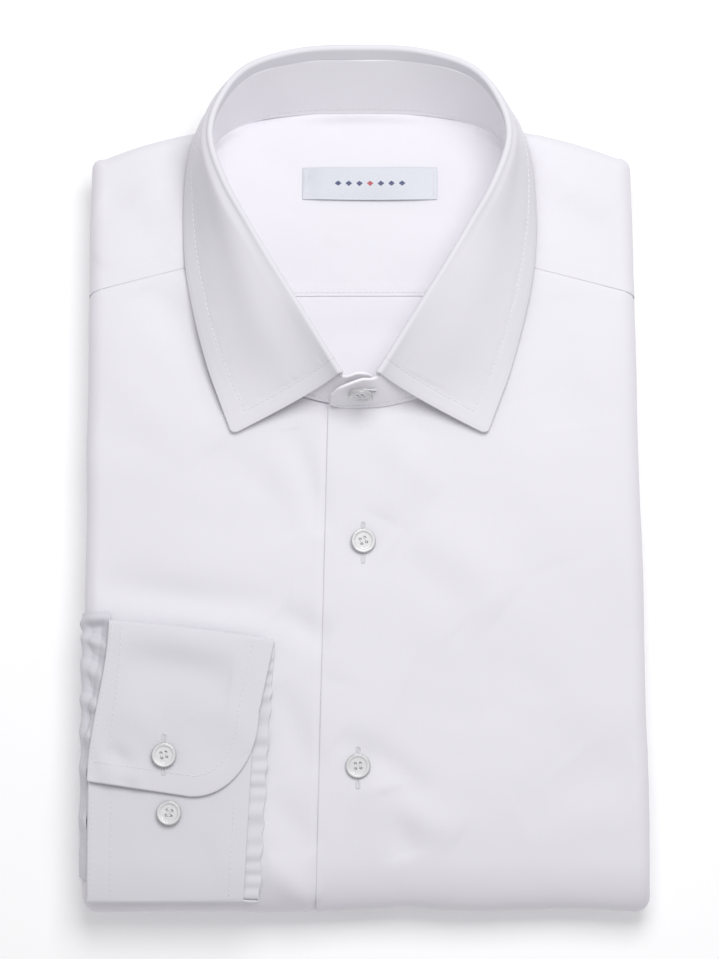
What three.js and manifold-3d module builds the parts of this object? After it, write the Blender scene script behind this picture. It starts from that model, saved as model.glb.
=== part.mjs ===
// A long-sleeved dress shirt folded for the shelf, in millimetres.
//
// It lies on its back on the XY plane, +Z up, collar towards +Y. The sides and sleeves are
// turned in behind the back, and the lower half is folded up behind the upper half, so the
// fronts run down the top, round the bottom fold and back along the underside to the tail.
// The right sleeve comes out round one edge and its cuff lies on the front.
//
// "Left" and "right" are the wearer's: the right front lies on the -X side.

import * as THREE from 'three';
import Module from 'manifold-3d';
import { mergeVertices } from 'three/addons/utils/BufferGeometryUtils.js';

const wasm = await Module();
wasm.setup();

// ---- Cloth ------------------------------------------------------------------------------

const cloth = 1.2; // wall of a single layer, its turned edges included
const gap = 0.3; // air between neighbouring pieces
const layer = cloth + gap; // one layer and the air above it

// ---- The folded body: two slabs of layers joined by the bottom fold ---------------------

const slab = 13.5; // thickness of each slab
const edgeRoll = slab / 2; // radius of the soft rolled edges
const edgeWrap = THREE.MathUtils.degToRad(130); // how far the fronts turn round a side edge
const shoulderWrap = THREE.MathUtils.degToRad(165); // how far the yoke turns over the shoulder
const tailWrap = THREE.MathUtils.degToRad(150); // how far the fronts turn in at the tail
const cornerSquareness = 3; // power of the rounded corner outline, 2 is a quarter circle

const leftEdgeX = 121; // distance of the -X edge from the centre line
const rightEdgeX = { atShoulder: 122.1, atFold: 126.9 }; // the +X edge flares downwards
const shoulderCorner = { x: 121, y: 144.4 }; // where the shoulder fold meets the side
const shoulderTopY = 172; // the shoulder fold behind the neck
const shoulderCurve = 1.55; // power of its fall from the neck to the corner
const foldStartY = -168.4; // the bottom fold starts to round away here
const foldReach = 22; // and reaches this much further
const tailY = 126; // the turned-in tail on the underside
const foldLength = 56.6; // cloth from the upper slab to the underside, round the fold

const crown = 1; // the upper slab is thicker along its middle
const crownHalfWidth = 120;
const neckDip = 6.5; // the back of the neck sinks past the shorter lower slab
const neckDipFrom = 100;
const neckDipTo = 168;
const neckDipHalfWidth = 78;

// ---- Neckline, yoke seams and front edge ------------------------------------------------

const neck = { halfWidth: 73, centreY: 101, frontY: 31.5, backY: 168, backSquareness: 4 };
const yokeSeam = { x: 76.7, y: 95.1, slope: 0.265 }; // front yoke seam, falling outwards
const backYokeSeamY = 82; // seam of yoke and back, seen inside the neck
const frontEdge = { x: -14, y: 30.8, lean: 0.0226 }; // free edge of the left front
const underlapWidth = 35; // the right front runs on under the left front
const underlapRamp = { from: 10, to: 2 }; // it dips under between these distances from the edge
const buttonLine = 17; // distance of the buttons from the front edge

// ---- Helpers ----------------------------------------------------------------------------

const clamp = THREE.MathUtils.clamp;
const lerp = THREE.MathUtils.lerp;
const smooth = (value, from, to) => {
  const t = clamp((value - from) / (to - from), 0, 1);
  return t * t * (3 - 2 * t);
};

// Evenly spaced numbers from one value to another, both included.
const span = (from, to, steps) =>
  Array.from({ length: steps + 1 }, (_, i) => lerp(from, to, i / steps));

// Turns a closed mesh the right way out: its signed volume has to be positive.
function faceOutwards(vertices, triangles) {
  let volume = 0;
  for (const [a, b, c] of triangles) {
    volume += vertices[a].dot(vertices[b].clone().cross(vertices[c]));
  }
  return volume < 0 ? triangles.map(([a, b, c]) => [a, c, b]) : triangles;
}

function geometryOf(vertices, triangles) {
  const geometry = new THREE.BufferGeometry();
  geometry.setFromPoints(vertices);
  geometry.setIndex(faceOutwards(vertices, triangles).flat());
  return geometry;
}

// A closed wall over a grid. place(i, j, face) gives the point of grid row i and column j on
// the outer face (0) or the inner face (1), and strips along the rim join the two faces.
function wall(rows, columns, place) {
  const vertices = [];
  const triangles = [];
  const index = (i, j, face) => (i * columns + j) * 2 + face;
  for (let i = 0; i < rows; i++) {
    for (let j = 0; j < columns; j++) vertices.push(place(i, j, 0), place(i, j, 1));
  }
  const quad = (a, b, c, d) => triangles.push([a, b, c], [a, c, d]);
  for (let i = 0; i < rows - 1; i++) {
    for (let j = 0; j < columns - 1; j++) {
      quad(index(i, j, 0), index(i, j + 1, 0), index(i + 1, j + 1, 0), index(i + 1, j, 0));
      quad(index(i, j, 1), index(i + 1, j, 1), index(i + 1, j + 1, 1), index(i, j + 1, 1));
    }
  }
  const rim = [];
  for (let j = 0; j < columns; j++) rim.push([0, j]);
  for (let i = 1; i < rows; i++) rim.push([i, columns - 1]);
  for (let j = columns - 2; j >= 0; j--) rim.push([rows - 1, j]);
  for (let i = rows - 2; i > 0; i--) rim.push([i, 0]);
  rim.forEach(([i, j], k) => {
    const [ni, nj] = rim[(k + 1) % rim.length];
    quad(index(ni, nj, 0), index(i, j, 0), index(i, j, 1), index(ni, nj, 1));
  });
  return geometryOf(vertices, triangles);
}

function solidOf(geometry) {
  const bare = new THREE.BufferGeometry();
  bare.setAttribute('position', geometry.getAttribute('position').clone());
  if (geometry.index) bare.setIndex(geometry.index.clone());
  const merged = mergeVertices(bare, 1e-4);
  return new wasm.Manifold(new wasm.Mesh({
    numProp: 3,
    vertProperties: new Float32Array(merged.getAttribute('position').array),
    triVerts: new Uint32Array(merged.index.array),
  }));
}

function geometryOfSolid(solid) {
  const mesh = solid.getMesh();
  const geometry = new THREE.BufferGeometry();
  geometry.setAttribute('position', new THREE.BufferAttribute(mesh.vertProperties, 3));
  geometry.setIndex(new THREE.BufferAttribute(mesh.triVerts, 1));
  return geometry;
}

// ---- The folded surface -----------------------------------------------------------------
//
// A point of the outer layer is named by two lengths measured over the cloth: u across, v
// along. On the flat top they are x and y. Past the start of a rolled edge they run on round
// the roll, and below foldStartY v runs round the bottom fold and back along the underside.

const shoulderY = (x) => shoulderTopY
  - (shoulderTopY - shoulderCorner.y) * (Math.abs(x) / shoulderCorner.x) ** shoulderCurve;

const undersideStartV = foldStartY - foldLength;
const tailRollV = undersideStartV - (tailY - edgeRoll - foldStartY);

// Where the side roll starts, as a distance from the centre line. Both slabs have one outline.
function sideRollX(side, v) {
  if (side < 0) return leftEdgeX - edgeRoll;
  const under = foldStartY + undersideStartV - Math.max(v, tailRollV);
  const y = v < undersideStartV ? under : Math.max(v, foldStartY);
  const down = clamp((shoulderCorner.y - y) / (shoulderCorner.y - foldStartY), 0, 1);
  return lerp(rightEdgeX.atShoulder, rightEdgeX.atFold, down) - edgeRoll;
}

// How far the upper slab stands above or below its plain thickness.
function lift(x, y) {
  const rise = crown * (1 - (x / crownHalfWidth) ** 2);
  const spread = Math.exp(-((x / neckDipHalfWidth) ** 4));
  return rise - neckDip * spread * smooth(y, neckDipFrom, neckDipTo);
}

// The point at (u, v), a given depth inside the outer surface.
function bodyPoint(u, v, depth) {
  const side = u < 0 ? -1 : 1;
  const rollX = sideRollX(side, v);
  const flatX = side * Math.min(Math.abs(u), rollX);
  const shoulderRollV = shoulderY(flatX) - edgeRoll;
  const overSide = Math.max(0, Math.abs(u) - rollX);
  const overShoulder = Math.max(0, v - shoulderRollV);
  const overTail = Math.max(0, tailRollV - v);
  const overEnd = Math.max(overShoulder, overTail);

  const turn = Math.max(overSide, overEnd) / edgeRoll;
  const radius = edgeRoll - depth;
  const reach = radius * Math.sin(turn);
  const power = cornerSquareness;
  const length = (overSide ** power + overEnd ** power) ** (1 / power) || 1;
  const x = flatX + (side * reach * overSide) / length;
  const beyond = (reach * overEnd) / length;
  const inward = edgeRoll - radius * Math.cos(turn);

  if (v >= foldStartY) {
    const y = Math.min(v, shoulderRollV) + beyond;
    return new THREE.Vector3(x, y, 2 * slab - inward + lift(x, y));
  }
  if (v > undersideStartV) {
    const angle = (Math.PI * (foldStartY - v)) / foldLength;
    const y = foldStartY - (foldReach - inward) * Math.sin(angle);
    const raise = lift(x, foldStartY) * Math.max(0, Math.cos(angle));
    return new THREE.Vector3(x, y, slab + (slab - inward) * Math.cos(angle) + raise);
  }
  const y = foldStartY + undersideStartV - Math.max(v, tailRollV) + beyond;
  return new THREE.Vector3(x, y, inward);
}

const topHeight = (x, y) => 2 * slab + lift(x, y);

// The u of a point at x on the side roll, and the v of a point at y on the shoulder roll.
function unrollX(x, v) {
  const side = x < 0 ? -1 : 1;
  const rollX = sideRollX(side, v);
  const over = Math.abs(x) - rollX;
  return over <= 0 ? x : side * (rollX + edgeRoll * Math.asin(Math.min(1, over / edgeRoll)));
}

function unrollY(x, y) {
  const rollV = shoulderY(x) - edgeRoll;
  return y <= rollV ? y : rollV + edgeRoll * Math.asin(Math.min(1, (y - rollV) / edgeRoll));
}

// ---- Seam lines on that surface ---------------------------------------------------------

const seamY = (x) => yokeSeam.y - yokeSeam.slope * (Math.abs(x) - yokeSeam.x);

function frontNeckY(x) {
  const inside = 1 - (x / neck.halfWidth) ** 2;
  return neck.centreY - (neck.centreY - neck.frontY) * Math.sqrt(Math.max(0, inside));
}

function backNeckY(x) {
  const inside = 1 - (Math.abs(x) / neck.halfWidth) ** neck.backSquareness;
  return neck.centreY
    + (neck.backY - neck.centreY) * Math.max(0, inside) ** (1 / neck.backSquareness);
}

// Top of the fronts: the yoke seam at the sides, the neckline inside it.
const frontTopV = (x) => (Math.abs(x) < neck.halfWidth
  ? Math.min(seamY(x), frontNeckY(x))
  : seamY(x)) - gap / 2;

// Front of the yoke: its seam at the sides, the back neckline inside it.
const yokeFrontV = (x) => (Math.abs(x) < neck.halfWidth
  ? unrollY(x, backNeckY(x))
  : seamY(x)) + gap / 2;

const frontEdgeU = (v) => frontEdge.x - frontEdge.lean * (frontEdge.y - v);

// How deep the right front lies under the outer surface.
const underlapDepth = (u, v) => {
  const before = frontEdgeU(v) - u;
  return layer * (1 - smooth(before, underlapRamp.to, underlapRamp.from));
};

// On the underside the front edge lies in a shallow channel that takes the buttons.
// It starts and reaches its depth these lengths before the underside does.
const channel = { depth: 3.6, flat: 7.5, ramp: 15, starts: 20, full: 8 };
function channelDepth(u, v) {
  const beside = Math.abs(u - frontEdgeU(v) - buttonLine);
  const under = smooth(-v, -undersideStartV - channel.starts, -undersideStartV - channel.full);
  return channel.depth * under * (1 - smooth(beside, channel.flat, channel.ramp));
}

// ---- Materials --------------------------------------------------------------------------

const material = (name, color, roughness) => {
  const result = new THREE.MeshStandardMaterial({ color, roughness, metalness: 0 });
  result.name = name;
  return result;
};
const shirting = () => material('shirting', '#f1f1f6', 0.8);
const shell = () => material('button', '#f3f3f1', 0.25);
const satin = () => material('label', '#dfe3ea', 0.5);

const garment = new THREE.Group();

function add(name, geometry, finish) {
  const mesh = new THREE.Mesh(geometry, finish);
  mesh.name = name;
  garment.add(mesh);
  return mesh;
}

// ---- Rows and columns shared by the pieces ----------------------------------------------
//
// A row is a function of the column's place across, a column a function of the row's v.

const flatLeftX = leftEdgeX - edgeRoll;
const flatRightX = rightEdgeX.atShoulder - edgeRoll;
const shoulderRollV = (u) => shoulderY(clamp(u, -flatLeftX, flatRightX)) - edgeRoll;
const seamLevel = 90; // rows are placed by where a column crosses this height
const sideTurns = span(edgeWrap, edgeWrap / 5, 4);
const foldRows = span(0, 1, 8).map((part) => () => foldStartY - foldLength * part);
const rolledColumn = (side, turn) => (v) => side * (sideRollX(side, v) + edgeRoll * turn);
const fixedColumns = (places) => places.map((x) => () => x);
const edgeColumns = (offsets) => offsets.map((offset) => (v) => frontEdgeU(v) + offset);

const neckRowsEnd = 20; // below this the rows of the fronts run straight across
const frontRows = [
  ...span(0, 1, 4).map((part) => (u) => lerp(frontTopV(u), neckRowsEnd, part)),
  ...fixedColumns([-30, -100]),
  ...foldRows,
  ...span(0, 1, 2).slice(1).map((part) => () => lerp(undersideStartV, tailRollV, part)),
  ...span(0, tailWrap, 5).slice(1).map((turn) => () => tailRollV - edgeRoll * turn),
];
const neckColumns = [94, 72.9, 70.5, 63.2, 51.6]; // close together where the neckline is steep

// The columns of a front from its rolled side edge inwards.
const sideColumns = (side) => [
  ...sideTurns.map((turn) => rolledColumn(side, turn)),
  rolledColumn(side, 0),
  ...fixedColumns(neckColumns.map((x) => side * x)),
];

function frontWall(columns, depthAt) {
  return wall(frontRows.length, columns.length, (i, j, face) => {
    const v = frontRows[i](columns[j](seamLevel));
    const u = columns[j](v);
    return bodyPoint(u, v, depthAt(u, v) + face * cloth);
  });
}

// ---- Right front: lies under the left front and carries the buttons ---------------------

const overlapOffsets = [2, 9.5, buttonLine, 24.5, 32]; // columns where both fronts lie

add('front_right', frontWall(
  [
    ...sideColumns(-1),
    ...edgeColumns([-24, -underlapRamp.from, -underlapRamp.to, ...overlapOffsets]),
    ...edgeColumns([underlapWidth]),
  ],
  (u, v) => underlapDepth(u, v) + channelDepth(u, v),
), shirting());

// ---- Left front: its plain folded edge lies on top --------------------------------------

add('front_left', frontWall(
  [...edgeColumns([0, ...overlapOffsets, 36.5]), ...sideColumns(1).reverse()],
  channelDepth,
), shirting());

// ---- Yoke: over the shoulders and behind the neck ---------------------------------------

const backNeckTurns = [75, 55, 35, 17, 0].map(THREE.MathUtils.degToRad);
const yokeHalf = (side) => [
  ...sideTurns.map((turn) => rolledColumn(side, turn)),
  rolledColumn(side, 0),
  ...fixedColumns([94, neck.halfWidth].map((x) => side * x)),
  ...backNeckTurns.map((turn) => () =>
    side * neck.halfWidth * Math.sin(turn) ** (2 / neck.backSquareness)),
];
const yokeColumns = [...yokeHalf(-1), ...yokeHalf(1).reverse().slice(1)];
const yokeFlatMinimum = 2; // length of the flat part where the neckline nears the roll
const yokeFlatEnd = (u) => Math.max(yokeFrontV(u) + yokeFlatMinimum, shoulderRollV(u));
const yokeRows = [
  ...span(0, 1, 3).map((part) => (u) => lerp(yokeFrontV(u), yokeFlatEnd(u), part)),
  ...span(0, 1, 6).slice(1).map((part) => (u) =>
    lerp(yokeFlatEnd(u), shoulderRollV(u) + edgeRoll * shoulderWrap, part)),
];

add('yoke', wall(yokeRows.length, yokeColumns.length, (i, j, face) => {
  const v = yokeRows[i](yokeColumns[j](seamLevel));
  return bodyPoint(yokeColumns[j](v), v, face * cloth);
}), shirting());

// ---- Inside of the neck: inner yoke and back --------------------------------------------

const neckFloor = {
  halfWidth: 85,
  holdX: 72.4, // outside this the inner yoke ends on a straight line
  startY: 12,
  depth: { inFront: 3, behind: 1.6 }, // it rises towards the neck seam
  rise: { from: 100, to: 150 },
};
const floorDepth = (v) => lerp(
  neckFloor.depth.inFront,
  neckFloor.depth.behind,
  smooth(v, neckFloor.rise.from, neckFloor.rise.to),
);
const floorHalfColumns = [neckFloor.halfWidth, neckFloor.holdX, 66, 50, 26];
const floorColumns = [...floorHalfColumns.map((x) => -x), 0, ...floorHalfColumns.reverse()];
const seamInset = 1.2; // the inner yoke stops this short of the neck seam
const innerTopV = (x) =>
  unrollY(x, backNeckY(Math.min(Math.abs(x), neckFloor.holdX))) - seamInset;

const floorWall = (rows) => wall(rows.length, floorColumns.length, (i, j, face) => {
  const u = floorColumns[j];
  const v = rows[i](u);
  return bodyPoint(u, v, floorDepth(v) + face * cloth);
});

add('yoke_inner', floorWall(
  span(0, 1, 5).map((part) => (x) => lerp(backYokeSeamY + gap / 2, innerTopV(x), part)),
), shirting());

add('back', floorWall(
  span(0, 1, 3).map((part) => () => lerp(neckFloor.startY, backYokeSeamY - gap / 2, part)),
), shirting());

// ---- Hidden layers: sides, left sleeve, back and tail, folded together ------------------
//
// One rounded solid with the same folded form. Its outer face leaves room for each shown
// piece, its inner faces meet in a narrow crease, and grooves part its layers at the edges.

const creaseDepth = 13.2;
const coreWrap = THREE.MathUtils.degToRad(155);
const coreInset = 8; // the inner face stops this far inside the start of each roll
const groove = { depth: 0.9, fromTurn: 1.8, toTurn: 2.3 };
const overlapRoom = { flat: 36, ramp: 48 }; // both fronts lie this near the button line
const channelRoom = { flat: 19, ramp: 36, starts: 33, full: 20 };
const floorRoom = { spare: 1.2, fromY: 2, toY: 9, flatX: 86, rampX: 93 };

function coreDepth(u, v) {
  const beside = Math.abs(u - frontEdgeU(v) - buttonLine);
  const fronts = layer * (2 - smooth(beside, overlapRoom.flat, overlapRoom.ramp));
  const under =
    smooth(-v, -undersideStartV - channelRoom.starts, -undersideStartV - channelRoom.full);
  const buttons =
    channel.depth * under * (1 - smooth(beside, channelRoom.flat, channelRoom.ramp));
  const inside = 1 - smooth(Math.abs(u), floorRoom.flatX, floorRoom.rampX);
  const floor = (floorDepth(v) + layer + floorRoom.spare)
    * smooth(v, floorRoom.fromY, floorRoom.toY) * inside;
  return Math.max(fronts + buttons, floor);
}

// Distance round the nearest rolled edge, and the matching point of the flat inner face.
function coreRoll(u, v) {
  const side = u < 0 ? -1 : 1;
  const overSide = Math.max(0, Math.abs(u) - sideRollX(side, v));
  const overShoulder = Math.max(0, v - shoulderRollV(u));
  const overTail = Math.max(0, tailRollV - v);
  const part = (over) => coreInset * (1 - over / (edgeRoll * coreWrap));
  const atSide = Math.abs(u) >= sideRollX(side, v) - 1e-6;
  const innerU = atSide ? side * (sideRollX(side, v) - part(overSide)) : u;
  let innerV = v;
  if (v >= shoulderRollV(u) - 1e-6) innerV = shoulderRollV(u) - part(overShoulder);
  if (v <= tailRollV + 1e-6) innerV = tailRollV + part(overTail);
  return { turn: Math.max(overSide, overShoulder, overTail) / edgeRoll, innerU, innerV };
}

const coreTurns = [...sideTurns.slice().reverse(), coreWrap].reverse();
const coreSide = (side) => [
  ...coreTurns.map((turn) => rolledColumn(side, turn)),
  rolledColumn(side, 0),
  ...fixedColumns([floorRoom.rampX, floorRoom.flatX].map((x) => side * x)),
];
const coreColumns = [
  ...coreSide(-1),
  ...edgeColumns([-31, -19, -2, buttonLine, 36, 53, 65]),
  ...coreSide(1).reverse(),
];
const behindNeckV = 105; // rows from here to the shoulder roll follow its curve
const coreRows = [
  ...span(coreWrap, 0, 5).map((turn) => (u) => shoulderRollV(u) + edgeRoll * turn),
  ...[0.67, 0.33, 0].map((part) => (u) => lerp(behindNeckV, shoulderRollV(u), part)),
  ...fixedColumns([floorRoom.toY, floorRoom.fromY, -80]),
  ...foldRows,
  () => lerp(undersideStartV, tailRollV, 0.5),
  ...span(0, tailWrap, 5).map((turn) => () => tailRollV - edgeRoll * turn),
];

add('folded_layers', wall(coreRows.length, coreColumns.length, (i, j, face) => {
  const v = coreRows[i](coreColumns[j](seamLevel));
  const u = coreColumns[j](v);
  const { turn, innerU, innerV } = coreRoll(u, v);
  if (face === 1) return bodyPoint(innerU, innerV, creaseDepth);
  const furrow = Math.abs(Math.sin(2 * turn)) * smooth(turn, groove.fromTurn, groove.toTurn);
  return bodyPoint(u, v, coreDepth(u, v) + groove.depth * furrow);
}), shirting());

// ---- Collar: a buttoned stand round the neck, and a leaf folded over it -----------------
//
// One row for each section from the centre back round to the front. neck is on the neck seam,
// fold on the line where the leaf turns over, edge on the leaf's outer edge. The other half
// mirrors it.

const collarSections = table(
  ['neckX', 'neckY', 'foldX', 'foldY', 'foldZ', 'edgeX', 'edgeY', 'edgeZ'],
  [
    [0, 168, 0, 187.2, 58, 0, 191, 15],
    [24, 168, 25.9, 185.7, 58.5, 28, 190, 15.5],
    [46, 165.5, 48.8, 177.9, 60, 53, 183.5, 18],
    [61, 157.5, 60.5, 163.5, 62, 68.5, 168, 22.5],
    [69.5, 144, 64.8, 146.2, 63, 76, 147.5, 28.6],
    [73, 124, 58.5, 127, 61.3, 78.6, 121, 29.2],
    [72.5, 103, 48.5, 109.1, 58, 77.6, 96, 29.4],
    [66, 78, 37.5, 90.6, 56, 73.4, 73, 29.6],
    [52, 55, 26.5, 73, 54, 67.4, 50, 29.8],
    [34, 39.5, 16.8, 57.5, 52, 62, 34.5, 30],
    [14, 32.5, 7.5, 43, 50, 56.2, 19, 30.2],
  ],
);
// The stand runs on past the leaf at both fronts: over lies outside, under behind it.
const standEnds = {
  over: table(['neckX', 'neckY', 'neckZ', 'topX', 'topY', 'topZ'], [
    [2, 31.4, 29.1, 0.5, 39.6, 48.4],
    [-8, 31.4, 29.1, -7.5, 36.8, 46.8],
    [-12.6, 32.2, 32, -11.8, 34.8, 42],
  ]),
  under: table(['neckX', 'neckY', 'neckZ', 'topX', 'topY', 'topZ'], [
    [-2, 34.6, 29.2, -0.5, 42.8, 47],
    [6, 35, 29.4, 6.5, 42.6, 43.5],
  ]),
};
const stand = { thickness: 1.6, lift: 1 }; // it clears the neckline below it by its lift
const leaf = { thickness: 1.4, foldRadius: 1.6, bulge: 0.35, flare: 0.06 };
const leafRise = { back: 7, front: 3 }; // the fold lies this far above the stand's top
const underTuck = { depth: 1.4, sections: 3 }; // the right end moves in behind the left
const sections = collarSections.length - 1;

const neckLine = mirroredCurve((row) =>
  [row.neckX, row.neckY, topHeight(row.neckX, row.neckY) + stand.lift]);
const foldLine = mirroredCurve((row) => [row.foldX, row.foldY, row.foldZ]);
const edgeLine = mirroredCurve((row) => [row.edgeX, row.edgeY, row.edgeZ]);

function table(columns, rows) {
  return rows.map((row) => Object.fromEntries(row.map((value, k) => [columns[k], value])));
}

// A smooth line through one point of every section, from -sections to +sections.
function mirroredCurve(pointOf) {
  const half = collarSections.map((row) => new THREE.Vector3(...pointOf(row)));
  const mirrored = half.slice(1).reverse().map((p) => new THREE.Vector3(-p.x, p.y, p.z));
  const curve = new THREE.CatmullRomCurve3([...mirrored, ...half], false, 'catmullrom', 0.5);
  return (at) => curve.getPoint((at + sections) / (2 * sections));
}

// The collar at one section: neck, fold, the way up the stand and the way out from it.
function collarFrame(at) {
  const neckPoint = neckLine(at);
  const fold = foldLine(at);
  const edge = edgeLine(at);
  const up = fold.clone().sub(neckPoint).normalize();
  const fall = edge.clone().sub(fold);
  const out = fall.clone().addScaledVector(up, -fall.dot(up)).normalize();
  const rise = lerp(leafRise.back, leafRise.front, Math.abs(at) / sections);
  return { neckPoint, fold, edge, up, out, rise };
}

// A wall about a middle surface, half its thickness to each side along the surface normal.
function thickened(points, thickness) {
  const at = (i, j) => points[clamp(i, 0, points.length - 1)][clamp(j, 0, points[0].length - 1)];
  return wall(points.length, points[0].length, (i, j, face) => {
    const along = at(i + 1, j).clone().sub(at(i - 1, j));
    const across = at(i, j + 1).clone().sub(at(i, j - 1));
    const normal = along.cross(across).normalize();
    return at(i, j).clone().addScaledVector(normal, thickness * (face - 0.5));
  });
}

const collarSteps = span(-sections, sections, 3 * sections);
const standHeights = span(0, 1, 2);
const standRow = (low, high) => standHeights.map((part) => low.clone().lerp(high, part));
const endLow = (row) => new THREE.Vector3(row.neckX, row.neckY, row.neckZ);
const endHigh = (row) => new THREE.Vector3(row.topX, row.topY, row.topZ);
const standEnd = (row) => standRow(endLow(row), endHigh(row));

add('collar_stand', thickened([
  ...standEnds.under.slice().reverse().map(standEnd),
  ...collarSteps.map((at) => {
    const { neckPoint, fold, up, rise } = collarFrame(at);
    const tucked = underTuck.depth * smooth(-at, sections - underTuck.sections, sections);
    const tuck = new THREE.Vector3(0, tucked, 0);
    const top = fold.clone().addScaledVector(up, -rise - gap - tucked);
    return standRow(neckPoint.clone().add(tuck), top.add(tuck));
  }),
  ...standEnds.over.map(standEnd),
], stand.thickness), shirting());

const foldTurns = span(180, 0, 3).map(THREE.MathUtils.degToRad);
const fallParts = [0.25, 0.5, 0.75, 1];

add('collar_leaf', thickened(collarSteps.map((at) => {
  const { fold, edge, up, out, rise } = collarFrame(at);
  const centre = fold.clone().addScaledVector(up, -leaf.foldRadius)
    .addScaledVector(out, leaf.foldRadius);
  const turned = foldTurns.map((turn) => centre.clone()
    .addScaledVector(out, leaf.foldRadius * Math.cos(turn))
    .addScaledVector(up, leaf.foldRadius * Math.sin(turn)));
  const start = turned[turned.length - 1];
  const reach = edge.distanceTo(start);
  const control = start.clone().addScaledVector(up, -leaf.bulge * reach)
    .addScaledVector(out, leaf.flare * reach);
  const fall = new THREE.QuadraticBezierCurve3(start, control, edge);
  return [
    fold.clone().addScaledVector(up, -rise),
    ...turned,
    ...fallParts.map((part) => fall.getPoint(part)),
  ];
}), leaf.thickness), shirting());

// ---- Right cuff: a flattened barrel cuff lying on the front -----------------------------
//
// Its section runs from the free end of the overlap, over the top fold, back underneath,
// round the bottom fold and up to the end of the underlap, which lies inside.

const cuff = {
  ply: 1.3,
  topY: -64,
  bottomY: -187.2,
  underlapEndY: -106,
  flapY: { atSeam: -134.4, atCorner: -140 },
  cornerX: -66, // the rounded corner of the overlap starts here
  cornerRise: 32,
  cornerInset: 2.5, // and ends this far inside the hand edge
  seamX: { atTop: -109.2, atFlap: -117.8 },
  handX: { atTop: -37.5, atBottom: -44 },
  droop: 1.2, // over the rounding of the bottom fold
};
const cuffPly = cuff.ply + gap;
const underPly = gap + cuff.ply / 2;

const cuffSeamX = (y) =>
  lerp(cuff.seamX.atTop, cuff.seamX.atFlap, smooth(-y, -cuff.topY, -cuff.flapY.atSeam));
const cuffHandX = (y) =>
  lerp(cuff.handX.atTop, cuff.handX.atBottom, (cuff.topY - y) / (cuff.topY - cuff.bottomY));
const cuffX = (across, y) => lerp(cuffSeamX(y), cuffHandX(y), across);

function flapEndY(across) {
  const x = cuffX(across, cuff.flapY.atCorner);
  const beside = clamp((cuff.cornerX - x) / (cuff.cornerX - cuff.seamX.atFlap), 0, 1);
  const cornerEndX = cuff.handX.atBottom + cuff.cornerInset;
  const round = clamp((x - cuff.cornerX) / (cornerEndX - cuff.cornerX), 0, 1);
  const straight = lerp(cuff.flapY.atCorner, cuff.flapY.atSeam, beside);
  return straight + cuff.cornerRise * (1 - Math.sqrt(1 - round ** 2));
}

function restHeight(x, y) {
  const over = Math.max(0, foldStartY - y) / (foldStartY - cuff.bottomY);
  const flatX = Math.max(x, -flatLeftX);
  return topHeight(flatX, Math.max(y, foldStartY)) - cuff.droop * over ** 2;
}

const cuffRows = [cuff.underlapEndY, cuff.flapY.atCorner, foldStartY];
const topFoldRadius = cuffPly; // the overlap lies two plies above the bottom one
const bottomFoldRadius = cuffPly / 2;
const topTurnY = cuff.topY - topFoldRadius - cuff.ply / 2;
const bottomTurnY = cuff.bottomY + bottomFoldRadius + cuff.ply / 2;

// Points of the section as a place along y and a height above the front.
const cuffSection = (across) => [
  ...span(0, 1, 3).map((part) =>
    [lerp(flapEndY(across), topTurnY, part), underPly + 2 * cuffPly]),
  ...[45, 90, 135].map(THREE.MathUtils.degToRad).map((turn) => [
    topTurnY + topFoldRadius * Math.sin(turn),
    underPly + topFoldRadius * (1 + Math.cos(turn)),
  ]),
  ...[topTurnY, ...cuffRows, bottomTurnY].map((y) => [y, underPly]),
  ...[60, 120].map(THREE.MathUtils.degToRad).map((turn) => [
    bottomTurnY - bottomFoldRadius * Math.sin(turn),
    underPly + bottomFoldRadius * (1 - Math.cos(turn)),
  ]),
  ...[bottomTurnY, ...cuffRows.slice().reverse()].map((y) => [y, underPly + cuffPly]),
];

const cuffColumns = [0, 0.2, 0.45, 0.66, 0.8, 0.9, 0.97, 1];
add('cuff_right', thickened(cuffColumns.map((across) =>
  cuffSection(across).map(([y, height]) => {
    const x = cuffX(across, y);
    return new THREE.Vector3(x, y, restHeight(x, y) + height);
  })), cuff.ply), shirting());

// ---- Right sleeve: the flattened stretch that comes round the edge to the cuff ----------

const sleeve = { cloth: 1.5, above: 0.6, fromCuff: 0.8, topV: -58 };
const sleeveRows = [
  ...span(sleeve.topV, cuff.flapY.atCorner, 5),
  foldStartY,
  foldStartY - foldLength / 8,
];
const sleeveTurns = [39, 52, 78, 104, 130].map(THREE.MathUtils.degToRad);
const sleeveColumns = [
  ...span(0, 0.8, 3).map((part) => (v) =>
    lerp(unrollX(cuffSeamX(v), v) - sleeve.fromCuff, rolledColumn(-1, sleeveTurns[0])(v), part)),
  ...sleeveTurns.map((turn) => rolledColumn(-1, turn)),
];

add('sleeve_right', wall(sleeveRows.length, sleeveColumns.length, (i, j, face) => {
  const v = sleeveRows[i];
  return bodyPoint(sleeveColumns[j](v), v, -sleeve.above - (1 - face) * sleeve.cloth);
}), shirting());

// ---- Neck label, sewn to the inner yoke -------------------------------------------------

const label = { fromX: -25.4, toX: 34.8, fromY: 127.2, toY: 142, cloth: 1, above: 0.5 };
const labelColumns = span(label.fromX, label.toX, 4);
add('neck_label', wall(2, labelColumns.length, (i, j, face) => {
  const v = i === 0 ? label.fromY : label.toY;
  return bodyPoint(labelColumns[j], v, floorDepth(v) - label.above - (1 - face) * label.cloth);
}), satin());

// ---- Buttons ----------------------------------------------------------------------------

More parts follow.
